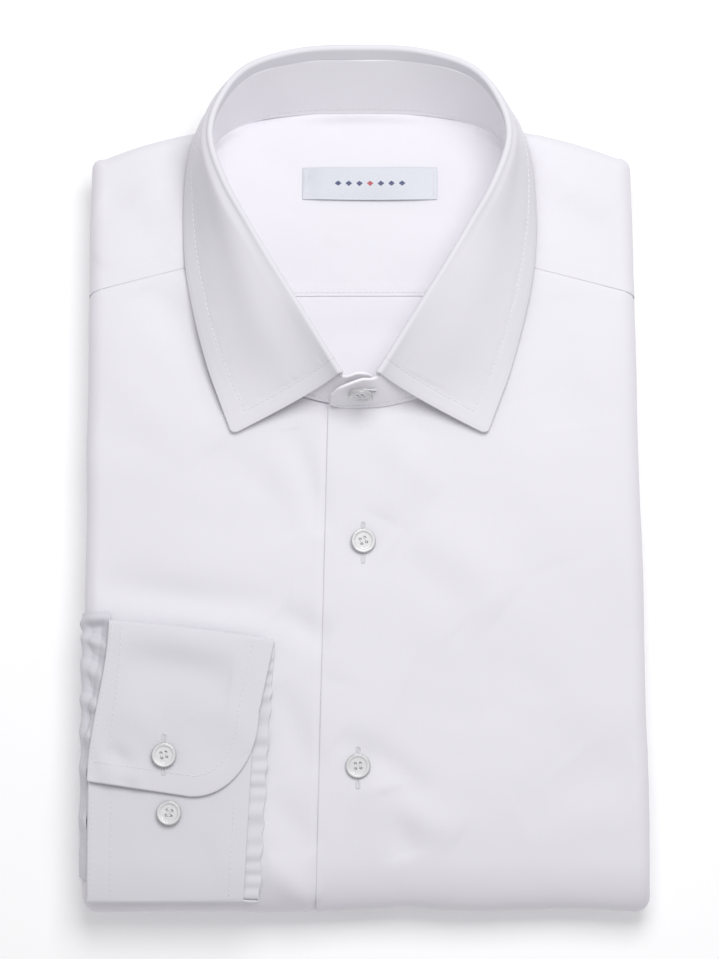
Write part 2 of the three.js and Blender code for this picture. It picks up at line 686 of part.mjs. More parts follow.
const button = { radius: 5.6, thickness: 2.4, holeRadius: 0.75, holeOffset: 1.15, sides: 14 };
const holeCutter = { length: 6, sides: 6 };
const buttonProfile = table(['radius', 'height'], [
  [0, 0],
  [4.3, 0],
  [5.4, 0.7],
  [button.radius, 1.4],
  [5.1, 2.2],
  [4.5, button.thickness],
  [3.6, 1.7],
  [0, 1.6],
]);

// A four-hole shirt button standing on the origin, with its rim up.
function buttonGeometry() {
  const outline = buttonProfile.map(({ radius, height }) => new THREE.Vector2(radius, height));
  const disc = new THREE.LatheGeometry(outline, button.sides).rotateX(Math.PI / 2);
  let solid = solidOf(disc);
  for (const sideX of [-1, 1]) {
    for (const sideY of [-1, 1]) {
      const radius = button.holeRadius;
      const hole =
        new THREE.CylinderGeometry(radius, radius, holeCutter.length, holeCutter.sides);
      hole.rotateX(Math.PI / 2);
      hole.translate(sideX * button.holeOffset, sideY * button.holeOffset, 0);
      solid = solid.subtract(solidOf(hole));
    }
  }
  return geometryOfSolid(solid);
}

const up = new THREE.Vector3(0, 0, 1);
function addButton(name, position, facing = up) {
  const mesh = add(name, buttonGeometry(), shell());
  mesh.quaternion.setFromUnitVectors(up, facing);
  mesh.position.copy(position);
}

// Down the front: two on top, then back along the underside.
const frontButtons = { firstV: -28.8, spacing: 99.1, shown: 5 };
for (let k = 0; k < frontButtons.shown; k++) {
  const v = frontButtons.firstV - frontButtons.spacing * k;
  const u = frontEdgeU(v) + buttonLine;
  const place = bodyPoint(u, v, 0);
  const name = `button_front_${k + 1}`;
  if (v > foldStartY) {
    addButton(name, place.setZ(place.z + gap));
  } else {
    addButton(name, place.setZ(gap + button.thickness), new THREE.Vector3(0, 0, -1));
  }
}

const cuffButtons = table(['x', 'y', 'plies'], [
  [-85, -123.6, 3],
  [-82.6, -148.6, 2],
]);
cuffButtons.forEach(({ x, y, plies }, k) => {
  const z = restHeight(x, y) + plies * cuffPly + gap;
  addButton(`button_cuff_${k + 1}`, new THREE.Vector3(x, y, z));
});

// On the stand's outer face, square to it.
const collarButton = { up: 14, off: 1.5, turned: 0.1 };
const standLow = endLow(standEnds.over[0]);
const standUp = endHigh(standEnds.over[0]).sub(standLow).normalize();
const standOut = new THREE.Vector3(-collarButton.turned, -standUp.z, standUp.y).normalize();
addButton('button_collar', standLow
  .addScaledVector(standUp, collarButton.up)
  .addScaledVector(standOut, stand.thickness / 2 + collarButton.off), standOut);

// ---- Assembly ---------------------------------------------------------------------------
//
// The origin is under the middle of the folded shirt, on the surface it lies on.

const box = new THREE.Box3().setFromObject(garment, true);
garment.position.set(-(box.min.x + box.max.x) / 2, -(box.min.y + box.max.y) / 2, 0);

export default garment;
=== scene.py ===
"""A long-sleeved white dress shirt, buttoned, folded for the shelf and lying on its back.

Lengths are millimetres from the shirt's own centre line, unless a name says otherwise, and new_piece
moves them to the shared frame in metres. +Y runs towards the collar and +Z up out of the front.
Left and right are the wearer's, so the right side of the shirt is at -X. A place on the body's cloth
is (u, v): u across it, and v along it, from the collar down the front, round the bottom fold and back
along the underside.
"""

import bpy
import numpy as np
from mathutils import Matrix


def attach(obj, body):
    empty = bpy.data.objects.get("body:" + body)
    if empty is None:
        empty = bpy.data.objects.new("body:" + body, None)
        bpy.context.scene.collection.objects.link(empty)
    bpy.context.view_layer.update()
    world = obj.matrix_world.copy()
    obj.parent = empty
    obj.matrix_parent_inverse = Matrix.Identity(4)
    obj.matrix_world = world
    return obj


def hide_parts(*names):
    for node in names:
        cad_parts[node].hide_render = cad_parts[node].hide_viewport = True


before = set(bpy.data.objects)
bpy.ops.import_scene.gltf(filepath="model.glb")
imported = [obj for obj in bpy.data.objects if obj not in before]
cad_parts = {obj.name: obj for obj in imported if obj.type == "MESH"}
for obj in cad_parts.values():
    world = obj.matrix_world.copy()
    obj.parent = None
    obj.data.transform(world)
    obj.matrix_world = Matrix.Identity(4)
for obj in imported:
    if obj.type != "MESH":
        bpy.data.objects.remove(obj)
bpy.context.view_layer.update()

# ---- Table top, light and camera -----------------------------------------------------------------
# A plain white table under one large soft light, above the wearer's left shoulder, and even light
# from all round. The camera looks down on the shirt from just short of straight above its hem.

CAMERA_ELEVATION = np.radians(80.5)
CAMERA_DISTANCE = 1.5  # metres, as are the places and sizes of the light and the table
CAMERA_LENS = 126.7  # millimetres, as is the film
CAMERA_FILM = 36.0  # on the image's longer side
CAMERA_AIM = np.array([-0.0019, -0.0006, 0.020])

SOFTBOX_PLACE = np.array([0.10, 0.27, 0.78])
SOFTBOX_AIM = np.array([0.0, 0.0, 0.03])
SOFTBOX_SIDE = 0.50
SOFTBOX_POWER = 4.3  # watts
SKY_COLOUR = (0.97, 0.965, 0.99, 1.0)
SKY_STRENGTH = 0.52
TABLE_CORNERS = ((-2.0, -2.0), (2.0, -2.0), (2.0, 2.0), (-2.0, 2.0))
TABLE_DROP = 0.0003
TABLE_COLOUR = (0.97, 0.97, 0.97, 1.0)
TABLE_GLOW = 0.10


def look_along(thing, place, target):
    """Puts a camera or light at a place, its -Z axis towards the target and its X axis level."""
    back = (place - target) / np.linalg.norm(place - target)
    right = np.cross([0.0, 1.0, 0.0], back)
    right /= np.linalg.norm(right)
    up = np.cross(back, right)
    matrix = np.eye(4)
    matrix[:3, 0], matrix[:3, 1], matrix[:3, 2], matrix[:3, 3] = right, up, back, place
    thing.matrix_world = Matrix(matrix)


camera_data = bpy.data.cameras.new("camera")
camera_data.sensor_width = CAMERA_FILM
camera_data.lens = CAMERA_LENS
camera = bpy.data.objects.new("camera", camera_data)
bpy.context.scene.collection.objects.link(camera)
camera_back = np.array([0.0, -np.cos(CAMERA_ELEVATION), np.sin(CAMERA_ELEVATION)])
look_along(camera, CAMERA_AIM + camera_back * CAMERA_DISTANCE, CAMERA_AIM)
bpy.context.scene.camera = camera
bpy.context.scene.view_settings.view_transform = "Standard"

softbox_data = bpy.data.lights.new("softbox", "AREA")
softbox_data.shape = "SQUARE"
softbox_data.size = SOFTBOX_SIDE
softbox_data.energy = SOFTBOX_POWER
softbox = bpy.data.objects.new("softbox", softbox_data)
bpy.context.scene.collection.objects.link(softbox)
look_along(softbox, SOFTBOX_PLACE, SOFTBOX_AIM)

sky = bpy.data.worlds.new("sky")
sky.use_nodes = True
sky.node_tree.nodes["Background"].inputs["Color"].default_value = SKY_COLOUR
sky.node_tree.nodes["Background"].inputs["Strength"].default_value = SKY_STRENGTH
bpy.context.scene.world = sky


def node(tree, kind, inputs=(), **settings):
    """One shader node. inputs pairs each socket's name or number with a value or another output."""
    made = tree.nodes.new(kind)
    for name, value in settings.items():
        setattr(made, name, value)
    for name, value in dict(inputs).items():
        if isinstance(value, bpy.types.NodeSocket):
            tree.links.new(value, made.inputs[name])
        else:
            made.inputs[name].default_value = value
    return made


def new_material(name, **sockets):
    """A material with one Principled shader, whose sockets are set by name, and its node tree."""
    material = bpy.data.materials.new(name)
    material.use_nodes = True
    shader = material.node_tree.nodes["Principled BSDF"]
    for socket, value in sockets.items():
        shader.inputs[socket.replace("_", " ")].default_value = value
    return material, material.node_tree, shader


table_material, _, _ = new_material("table_white", Base_Color=TABLE_COLOUR, Roughness=0.9,
                                    Emission_Color=TABLE_COLOUR, Emission_Strength=TABLE_GLOW)
table_mesh = bpy.data.meshes.new("table_top")
table_mesh.from_pydata([(x, y, -TABLE_DROP) for x, y in TABLE_CORNERS], [], [(0, 1, 2, 3)])
table_mesh.materials.append(table_material)
table = bpy.data.objects.new("table_top", table_mesh)
bpy.context.scene.collection.objects.link(table)

# ---- Right front: the side that carries the buttons ----------------------------------------------
# One panel of fine cotton poplin. It is turned in behind at the side, runs on under the left front,
# and goes round the bottom fold and back along the underside to the tail.

CENTRE_LINE = np.array([-1.923, -0.643, 0.0])  # its place in the frame, the cuff's side is wider

SLAB = 13.5  # the folded shirt is two slabs of layers, joined by the bottom fold
EDGE_ROLL = SLAB / 2
LEFT_EDGE_X = 121.0
RIGHT_EDGE_X = (122.1, 126.9)  # at the shoulder and at the bottom fold
SHOULDER_TOP_Y = 172.0
SHOULDER_CORNER = (121.0, 144.4)
SHOULDER_CURVE = 1.55
FOLD_START_Y = -168.4
FOLD_REACH = 22.0
FOLD_LENGTH = 56.6
TAIL_Y = 126.0
UNDERSIDE_START_V = FOLD_START_Y - FOLD_LENGTH
TAIL_ROLL_V = UNDERSIDE_START_V - (TAIL_Y - EDGE_ROLL - FOLD_START_Y)
SIDE_WRAP, SHOULDER_WRAP, TAIL_WRAP = np.radians([130.0, 165.0, 150.0])

NECK_HALF_WIDTH = 73.0
NECK_CENTRE_Y = 101.0
NECK_FRONT_Y = 31.5
NECK_BACK_Y = 168.0
FRONT_EDGE_X, FRONT_EDGE_Y, FRONT_EDGE_LEAN = -14.0, 30.8, 0.0226
BUTTON_LINE = 17.0  # from the front edge
BUTTON_TOP_V, BUTTON_SPACING = -28.8, 99.1
BUTTON_V = BUTTON_TOP_V - BUTTON_SPACING * np.arange(5)
UNDERLAP_WIDTH = 35.0
UNDERLAP_DIP = 0.75  # the right front lies this much lower under the left
YOKE_SEAM_START = (76.7, 95.1)  # x and y beside the collar
YOKE_SEAM_FALL = 0.265  # for each millimetre outwards
YOKE_TUCK = 6.0  # a front runs on this far under the yoke
YOKE_TUCK_DEPTH = 0.42
NECK_CLEARANCE = 0.15
CLOTH = 0.7  # the poplin, with its seam allowances

CROWN_HALF_WIDTH = 120.0  # the crown is 1 mm high in the middle, and 0 this far out
NECK_DIP, NECK_DIP_HALF_WIDTH = 6.5, 78.0
NECK_DIP_Y = (100.0, 168.0)  # where it starts and where it is full


def smoothstep(value, low, high):
    """0 up to low, 1 from high on, and 3t² - 2t³ of the part t in between. high may be the lower."""
    t = np.clip((value - low) / (high - low), 0, 1)
    return t * t * (3 - 2 * t)


def mix(low, high, part):
    """low at part 0, high at part 1."""
    return low + (high - low) * part


def side_roll_x(side, v):
    """Distance from the centre line at which the side edge starts to roll, above and below."""
    under = FOLD_START_Y + UNDERSIDE_START_V - np.maximum(v, TAIL_ROLL_V)
    y = np.where(v < UNDERSIDE_START_V, under, np.maximum(v, FOLD_START_Y))
    down = np.clip((SHOULDER_CORNER[1] - y) / (SHOULDER_CORNER[1] - FOLD_START_Y), 0, 1)
    return np.where(side < 0, LEFT_EDGE_X, mix(*RIGHT_EDGE_X, down)) - EDGE_ROLL


def shoulder_y(x):
    """The shoulder fold, highest behind the neck and falling as a power of the distance."""
    fall = SHOULDER_TOP_Y - SHOULDER_CORNER[1]
    return SHOULDER_TOP_Y - fall * (np.abs(x) / SHOULDER_CORNER[0]) ** SHOULDER_CURVE


def lift(x, y):
    """A parabola's crown across the middle, less a dip behind the neck: e to the minus fourth power
    of the distance, times a smooth step along."""
    dip = NECK_DIP * np.exp(-((x / NECK_DIP_HALF_WIDTH) ** 4)) * smoothstep(y, *NECK_DIP_Y)
    return 1 - (x / CROWN_HALF_WIDTH) ** 2 - dip


def body_point(u, v, depth=0.0):
    """The point u across and v along the cloth, a depth inside the folded shirt's outer surface.

    On the flat top u and v are x and y. Past the start of a rolled edge they run on round a circle,
    and at a corner the two rolls join as a cube-power rounding. Below the bottom fold's start v goes
    round half an ellipse and back along the underside.
    """
    u, v, depth = np.broadcast_arrays(*(np.asarray(a, float) for a in (u, v, depth)))
    side = np.where(u < 0, -1.0, 1.0)
    roll_x = side_roll_x(side, v)
    flat_x = side * np.minimum(np.abs(u), roll_x)
    shoulder_v = shoulder_y(flat_x) - EDGE_ROLL
    over_side = np.maximum(0, np.abs(u) - roll_x)
    over_end = np.maximum(np.maximum(0, v - shoulder_v), np.maximum(0, TAIL_ROLL_V - v))
    turn = np.maximum(over_side, over_end) / EDGE_ROLL
    radius = EDGE_ROLL - depth
    reach = radius * np.sin(turn) / np.maximum((over_side**3 + over_end**3) ** (1 / 3), 1e-9)
    inward = EDGE_ROLL - radius * np.cos(turn)
    x = flat_x + side * reach * over_side
    beyond = reach * over_end

    top_y = np.minimum(v, shoulder_v) + beyond
    angle = np.pi * np.clip((FOLD_START_Y - v) / FOLD_LENGTH, 0, 1)
    bend_y = FOLD_START_Y - (FOLD_REACH - inward) * np.sin(angle)
    bend_z = SLAB + (SLAB - inward) * np.cos(angle)
    bend_z = bend_z + lift(x, FOLD_START_Y) * np.maximum(0, np.cos(angle))
    under_y = FOLD_START_Y + UNDERSIDE_START_V - np.maximum(v, TAIL_ROLL_V) + beyond
    places = [v >= FOLD_START_Y, v > UNDERSIDE_START_V]
    y = np.select(places, [top_y, bend_y], under_y)
    z = np.select(places, [2 * SLAB - inward + lift(x, top_y), bend_z], inward)
    return np.stack([x, y, z], -1)


def top_height(x, y):
    """Height of the folded shirt's flat top."""
    return 2 * SLAB + lift(x, y)


def unroll_y(x, y):
    """The v of a point at y on the shoulder roll."""
    roll_v = shoulder_y(x) - EDGE_ROLL
    over = np.clip((y - roll_v) / EDGE_ROLL, 0, 1)
    return np.where(y <= roll_v, y, roll_v + EDGE_ROLL * np.arcsin(over))


def yoke_seam_y(x):
    """The front yoke seam, a straight line that falls towards the side."""
    return YOKE_SEAM_START[1] - YOKE_SEAM_FALL * (np.abs(x) - YOKE_SEAM_START[0])


def front_neck_y(x):
    """The front neckline, half an ellipse."""
    inside = np.clip(1 - (x / NECK_HALF_WIDTH) ** 2, 0, 1)
    return NECK_CENTRE_Y - (NECK_CENTRE_Y - NECK_FRONT_Y) * np.sqrt(inside)


def back_neck_y(x):
    """The back neckline, a squarer curve of the fourth power."""
    inside = np.clip(1 - (np.abs(x) / NECK_HALF_WIDTH) ** 4, 0, 1)
    return NECK_CENTRE_Y + (NECK_BACK_Y - NECK_CENTRE_Y) * inside**0.25


def front_edge_u(v):
    """The left front's free edge, a straight line a little off the vertical."""
    return FRONT_EDGE_X - FRONT_EDGE_LEAN * (FRONT_EDGE_Y - v)


# Soft creases and ridges of the body, by where they start and end on the cloth (u, v), how wide
# they are to each side, how high (below 0 for a trough), and how far their middle bows sideways.
BODY_CREASES = (
    # from u, from v, to u, to v, width, rise, bow
    (-118, 98, -78, 140, 8, 0.55, 3),
    (-116, 128, -84, 108, 11, -0.40, -3),
    (-96, 86, -58, 30, 10, -0.75, 5),
    (-80, 92, -44, 44, 8, 0.55, 4),
    (-118, 60, -70, 8, 13, 0.45, -5),
    (-116, 22, -50, -2, 12, -0.35, 4),
    (-60, 16, -30, -28, 9, -0.35, 3),
    (-30, 22, -17, -26, 6, -0.55, 1),
    (-116, -46, -30, -55, 8, -0.50, -3),
    (-118, -58, -34, -70, 6, 0.60, 1),
    (-36, -60, -14, -75, 7, -0.60, 1),
    (-37, -92, -22, -132, 7, -0.35, 2),
    (-42, -168, -18, -186, 6, 0.60, 0),
    (-40, -140, -21, -166, 7, -0.35, 1),
    (10, -18, 28, 20, 9, 0.50, -2),
    (4, 22, 34, -8, 8, 0.30, 3),
    (12, -34, 52, -62, 12, -0.45, 4),
    (0, -42, -10, -90, 9, 0.30, -2),
    (24, -26, 64, -58, 13, 0.40, 4),
    (44, -66, 92, -124, 16, -0.45, 6),
    (-10, -116, 30, -142, 7, -0.60, 3),
    (0, -134, 44, -158, 8, 0.50, -3),
    (12, -138, 20, -168, 8, -0.70, 2),
    (-24, -178, 160, -178, 18, -0.60, 0),
    (20, -92, 124, -132, 20, -0.45, 5),
    (60, -98, 124, -108, 14, 0.35, -4),
    (84, 82, 92, 22, 12, -0.35, -3),
    (104, 70, 122, -66, 9, 0.35, 2),
    (60, 30, 84, -40, 16, 0.35, 4),
    (94, 128, 118, 84, 9, -0.35, 3),
    (82, 146, 112, 120, 9, 0.40, -2),
    (70, -150, 120, -128, 12, -0.40, 4),
    # round the bottom fold and on the underside
    (-60, -196, -48, -250, 9, -0.6, 4),
    (20, -190, 34, -262, 10, -0.6, -5),
    (86, -200, 70, -270, 12, 0.5, 5),
    (-100, -262, -40, -330, 13, 0.5, 6),
    (28, -300, 104, -370, 14, -0.6, -6),
    (-96, -380, -34, -430, 13, -0.6, 5),
    (30, -420, 100, -470, 12, 0.5, 6),
    (-80, -470, -30, -506, 10, 0.5, -4),
)


def creases(u, v, rows):
    """The sum of soft ridges: each a bell of the distance from its line, bowed by a parabola, and
    fading to both ends as the root of a sine."""
    height = np.zeros(np.broadcast(u, v).shape)
    for from_u, from_v, to_u, to_v, width, rise, bow in rows:
        run = np.array([to_u - from_u, to_v - from_v], float)
        length = np.hypot(*run)
        along_u, along_v = run / length
        t = ((u - from_u) * along_u + (v - from_v) * along_v) / length
        t_in = np.clip(t, 0, 1)
        beside = (v - from_v) * along_u - (u - from_u) * along_v - bow * 4 * t_in * (1 - t_in)
        height += rise * np.exp(-((beside / width) ** 2)) * np.sqrt(np.sin(np.pi * t_in))
    return height


DRIFT_WAVES = 12


def drift(u, v, seed, wave, rise):
    """A slow unevenness: sine waves in seeded directions, each 0.7 to 1.8 times the wave length."""
    random = np.random.default_rng(seed)
    height = np.zeros(np.broadcast(u, v).shape)
    for _ in range(DRIFT_WAVES):
        direction = random.uniform(0, np.pi)
        length = wave * random.uniform(0.7, 1.8)
        along = u * np.cos(direction) + v * np.sin(direction)
        height += np.sin(2 * np.pi * along / length + random.uniform(0, 2 * np.pi))
    return height * rise / DRIFT_WAVES**0.5


DIMPLE_RADIUS = 6.5
PULL_SHARE, PULL_SLANT, PULL_WIDTH, PULL_LENGTH = 0.35, 0.25, 3.0, 14.0


def button_pull(u, v, rise):
    """A dimple under each front button, a bell of the distance, and two faint pulls that run out of
    it, a bell across their slanting line that fades along it."""
    height = 0.0
    for button_v in BUTTON_V:
        beside_u = u - front_edge_u(button_v) - BUTTON_LINE
        beside_v = v - button_v
        far = np.hypot(beside_u, beside_v)
        height = height - rise * np.exp(-((far / DIMPLE_RADIUS) ** 2))
        pull = np.exp(-((beside_v - PULL_SLANT * beside_u) / PULL_WIDTH) ** 2)
        pull = pull * np.exp(-far / PULL_LENGTH) * smoothstep(far, 3, 9)
        height = height - PULL_SHARE * rise * pull
    return height


CHANNEL_DEPTH = 3.6
CHANNEL_START_V = (UNDERSIDE_START_V + 20, UNDERSIDE_START_V + 8)  # it deepens between these
CHANNEL_SIDE = (7.5, 15.0)  # from the buttons' line to the edges of its floor and of its side


def button_channel(u, v):
    """Depth of the shallow channel along the front edge on the underside, where buttons lie."""
    beside = np.abs(u - front_edge_u(v) - BUTTON_LINE)
    side = 1 - smoothstep(beside, *CHANNEL_SIDE)
    return CHANNEL_DEPTH * smoothstep(v, *CHANNEL_START_V) * side


# The collar, one row for each tenth of the way from the centre back to the front: the neck seam
# (x, y), the fold over which the leaf turns (x, y, z), and the leaf's outer edge (x, y, z). The edge
# counts here too, because from the row LEAF_LIES on it holds the front down.
COLLAR_LINES = np.array([
    (0, 168, 0, 187.2, 58, 0, 191, 15),
    (24, 168, 25.9, 185.7, 58.5, 28, 190, 15.5),
    (46, 165.5, 48.8, 177.9, 60, 53, 183.5, 18),
    (61, 157.5, 60.5, 163.5, 62, 68.5, 168, 22.5),
    (69.5, 144, 64.8, 146.2, 63, 76, 147.5, 28.6),
    (73, 124, 58.5, 127, 61.3, 78.6, 121, 29.2),
    (72.5, 103, 48.5, 109.1, 58, 77.6, 96, 29.4),
    (66, 78, 37.5, 90.6, 56, 73.4, 73, 29.6),
    (52, 55, 26.5, 73, 54, 67.4, 50, 29.8),
    (34, 39.5, 16.8, 57.5, 52, 62, 34.5, 30),
    (14, 32.5, 7.5, 43, 50, 56.2, 19, 30.2),
])
LEAF_LIES = 4
LEAF_FRONT_SLANT = 0.32  # its front edge rises this much for each millimetre inwards

CUFF_TOP_Y = -64.0
CUFF_TOP_FALL, CUFF_TOP_BEND = 8.6, 1.3  # the top falls towards the hand, as this power of the way
FLAP_SEAM_Y = -134.4
CUFF_HOLDS_X = (-109.0, -38.0)  # the cuff holds the front down from its seam to its hand edge
CUFF_HOLDS_V = (-60.0, -205.0)
CUFF_HOLDS_LESS, CUFF_SLEEVE_X = 4.0, (-112.0, -100.0)  # from the sleeve on it starts lower
PRESSED_RISE = 0.25  # nothing stands higher where the cloth is held down


def pressed(u, v):
    """How far the collar's leaf or the cuff holds the cloth down, 1 under them and 0 outside."""
    leaf_x, leaf_y = COLLAR_LINES[:LEAF_LIES - 1:-1, 5:7].T
    leaf = 1 - smoothstep(np.abs(u) - np.interp(v, leaf_y, leaf_x), -1.0, 4.0)
    leaf = leaf * smoothstep(v - leaf_y[0] - LEAF_FRONT_SLANT * (leaf_x[0] - np.abs(u)), -4.0, 1.0)
    seam_x, hand_x = CUFF_HOLDS_X
    across = np.clip((u - seam_x) / (hand_x - seam_x), 0, 1)
    top = CUFF_HOLDS_V[0] - CUFF_TOP_FALL * across**CUFF_TOP_BEND
    top = top - CUFF_HOLDS_LESS * smoothstep(u, *CUFF_SLEEVE_X)
    cuff = (1 - smoothstep(u, hand_x - 6.0, hand_x)) * smoothstep(top - v, -3.0, 3.0)
    return np.maximum(leaf, cuff * smoothstep(v, CUFF_HOLDS_V[1], CUFF_HOLDS_V[1] + 13.0))


def lying(v):
    """1 on the underside, which lies on the table, and 0 above the last bend."""
    return smoothstep(v, UNDERSIDE_START_V + 22, UNDERSIDE_START_V + 6)


HOLLOW_DEPTH = 2.4
HOLLOW_SEAM_X = (-110.2, -119.0)  # its inner side, at the cuff's top and at the flap's end
HOLLOW_EDGE_X = (-118.5, -123.0)  # its outer side
HOLLOW_TOP_V, HOLLOW_END_V = (-62.0, -67.0), (-150.0, -176.0)


def sleeve_hollow(u, v):
    """Depth of the hollow between the cuff's seam and the rolled edge, where the sleeve dips."""
    seam = mix(*HOLLOW_SEAM_X, smoothstep(v, CUFF_TOP_Y, FLAP_SEAM_Y))
    along = smoothstep(v, *HOLLOW_TOP_V) * (1 - smoothstep(v, *HOLLOW_END_V))
    return HOLLOW_DEPTH * smoothstep(seam - u, 0, 3.5) * (1 - smoothstep(u, *HOLLOW_EDGE_X)) * along


CREASE_STRENGTH = 3.4  # times the rises in the table
BODY_DRIFTS = ((7, 52.0, 0.60), (8, 19.0, 0.06))  # seed, wave length and rise
CALM_EDGE_X, CALM_SHARE = (112.0, 128.0), 0.6


def body_relief(u, v):
    """Height of the creases and unevenness on the body, calmer round the rolled edges. Nothing
    stands out where the cloth is pressed or lies on the table."""
    uneven = CREASE_STRENGTH * creases(u, v, BODY_CREASES)
    uneven = uneven + sum(drift(u, v, *row) for row in BODY_DRIFTS)
    uneven = mix(uneven, np.minimum(uneven, PRESSED_RISE), pressed(u, v))
    uneven = uneven * (1 - CALM_SHARE * smoothstep(np.abs(u), *CALM_EDGE_X)) - sleeve_hollow(u, v)
    return mix(uneven, np.minimum(uneven, 0), lying(v))


def unit(vectors):
    """The vectors at length 1."""
    return vectors / np.maximum(np.linalg.norm(vectors, axis=-1, keepdims=True), 1e-12)


def new_piece(name, points, faces, lengths, material):
    """A smooth mesh object from points in millimetres. lengths go to the UV map, in metres."""
    mesh = bpy.data.meshes.new(name)
    mesh.from_pydata(((points + CENTRE_LINE) / 1000).tolist(), [], faces)
    mesh.polygons.foreach_set("use_smooth", np.ones(len(mesh.polygons), bool))
    corners = np.zeros(len(mesh.loops), int)
    mesh.loops.foreach_get("vertex_index", corners)
    mesh.uv_layers.new(name="cloth").uv.foreach_set("vector", (lengths[corners] / 1000).ravel())
    mesh.materials.append(material)
    piece = bpy.data.objects.new(name, mesh)
    bpy.context.scene.collection.objects.link(piece)
    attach(piece, "root")
    return piece


def border_of(rows, columns):
    """Row and column of each grid point round the border, starting along row 0."""
    i = np.concatenate([np.zeros(columns, int), np.arange(1, rows),
                        np.full(columns - 1, rows - 1), np.arange(rows - 2, 0, -1)])
    j = np.concatenate([np.arange(columns), np.full(rows - 1, columns - 1),
                        np.arange(columns - 2, -1, -1), np.zeros(rows - 2, int)])
    return i, j


def between_rings(rings):
    """Faces between each closed ring of point numbers and the next."""
    ahead = np.roll(rings, -1, -1)
    corners = [rings[..., :-1, :], rings[..., 1:, :], ahead[..., 1:, :], ahead[..., :-1, :]]
    return np.stack(corners, -1).reshape(-1, 4)


def wall(name, front, back, rings, u, v, material):
    """A closed wall between two grids of points, joined round the border through the rings.

    The front grid is the one that its column direction crossed with its row direction points to.
    """
    rows, columns = front.shape[:2]
    i, j = border_of(rows, columns)
    grid = np.arange(rows * columns).reshape(rows, columns)
    sheet = np.stack([grid[:-1, :-1], grid[:-1, 1:], grid[1:, 1:], grid[1:, :-1]], -1).reshape(-1, 4)
    loops = [2 * rows * columns + k * len(i) + np.arange(len(i)) for k in range(len(rings))]
    border = between_rings(np.stack([grid[i, j], *loops, grid[i, j] + rows * columns]))
    faces = np.concatenate([sheet, sheet[:, ::-1] + rows * columns, border])
    lengths = np.stack(np.broadcast_arrays(u, v), -1)
    lengths = np.concatenate([lengths.reshape(-1, 2)] * 2 + [lengths[i, j]] * len(rings))
    points = np.concatenate([front.reshape(-1, 3), back.reshape(-1, 3), *rings])
    return new_piece(name, points, faces.tolist(), lengths, material)


RIM_TURNS = np.radians([30.0, 60.0, 90.0, 120.0, 150.0])


def grid_normal(points):
    """Unit normal of a grid of points: its column direction crossed with its row direction."""
    return unit(np.cross(np.gradient(points, axis=1), np.gradient(points, axis=0)))


def skin(name, middle, thickness, u, v, material):
    """A wall half its thickness to each side of a grid of middle points, along their normals.
    Its rim is half a circle that bulges out across the border."""
    rows, columns = middle.shape[:2]
    half = np.broadcast_to(thickness, (rows, columns))[..., None] / 2
    normal = grid_normal(middle)
    i, j = border_of(rows, columns)
    border, border_normal, border_half = middle[i, j], normal[i, j], half[i, j]
    along = unit(np.roll(border, -1, 0) - np.roll(border, 1, 0))
    outward = unit(np.cross(along, border_normal))
    rings = [border + border_half * (border_normal * np.cos(turn) + outward * np.sin(turn))
             for turn in RIM_TURNS]
    return wall(name, middle + normal * half, middle - normal * half, rings, u, v, material)


POPLIN_THREAD = 0.30
POPLIN_SLUBS = ((1900.0, 60.0, 1.0), (60.0, 1900.0, 1.0))  # along the two threads, waves a metre
POPLIN_BUMP = (0.15, 0.00006)


def calculate(tree, operation, *values, kind="ShaderNodeMath"):
    """The result of one calculating node, from numbers and other nodes' results."""
    return node(tree, kind, enumerate(values), operation=operation).outputs[0]


def cloth_lengths(tree):
    """The lengths along the cloth in the piece's UV map, in metres."""
    return node(tree, "ShaderNodeUVMap", uv_map="cloth").outputs["UV"]


def add_bump(tree, shader, height, strength, distance):
    """A bump on the shader's normal, from a height and its full size in metres."""
    bump = node(tree, "ShaderNodeBump", {"Height": height, "Strength": strength, "Distance": distance})
    tree.links.new(bump.outputs["Normal"], shader.inputs["Normal"])


def poplin(name, colour):
    """Plain-woven cotton: warp and weft make a bump that is the product of two sines, under a slow
    unevenness of thread thickness that also varies the colour faintly."""
    material, tree, shader = new_material(name, Roughness=0.78, Sheen_Weight=0.15,
                                          Sheen_Roughness=0.45, Specular_IOR_Level=0.25)
    lengths = cloth_lengths(tree)
    axes = node(tree, "ShaderNodeSeparateXYZ", {0: lengths})
    waves = []
    for axis in "XY":
        turns = calculate(tree, "MULTIPLY", axes.outputs[axis], np.pi * 1000 / POPLIN_THREAD)
        waves.append(calculate(tree, "SINE", turns))
    woven = calculate(tree, "ABSOLUTE", calculate(tree, "MULTIPLY", *waves))
    slubs = []
    for stretch in POPLIN_SLUBS:
        place = calculate(tree, "MULTIPLY", lengths, stretch, kind="ShaderNodeVectorMath")
        slubs.append(node(tree, "ShaderNodeTexNoise", {"Vector": place, "Scale": 1.0}).outputs[0])
    slub = calculate(tree, "ADD", *slubs)
    add_bump(tree, shader, calculate(tree, "MULTIPLY_ADD", woven, 0.6, slub), *POPLIN_BUMP)
    shade = node(tree, "ShaderNodeMapRange", {"Value": slub, "From Min": 0.6, "From Max": 1.4,
                                              "To Min": 0.985, "To Max": 1.0}).outputs[0]
    tint = calculate(tree, "MULTIPLY", colour, shade, kind="ShaderNodeVectorMath")
    tree.links.new(tint, shader.inputs["Base Color"])
    return material


shirting = poplin("shirting_poplin", (0.800, 0.785, 0.828))


def steps(*stretches):
    """Numbers in even steps through each stretch (from, to, count), ends shared."""
    parts = [np.linspace(low, high, count + 1)[:-1] for low, high, count in stretches]
    return np.concatenate([*parts, [stretches[-1][1]]])


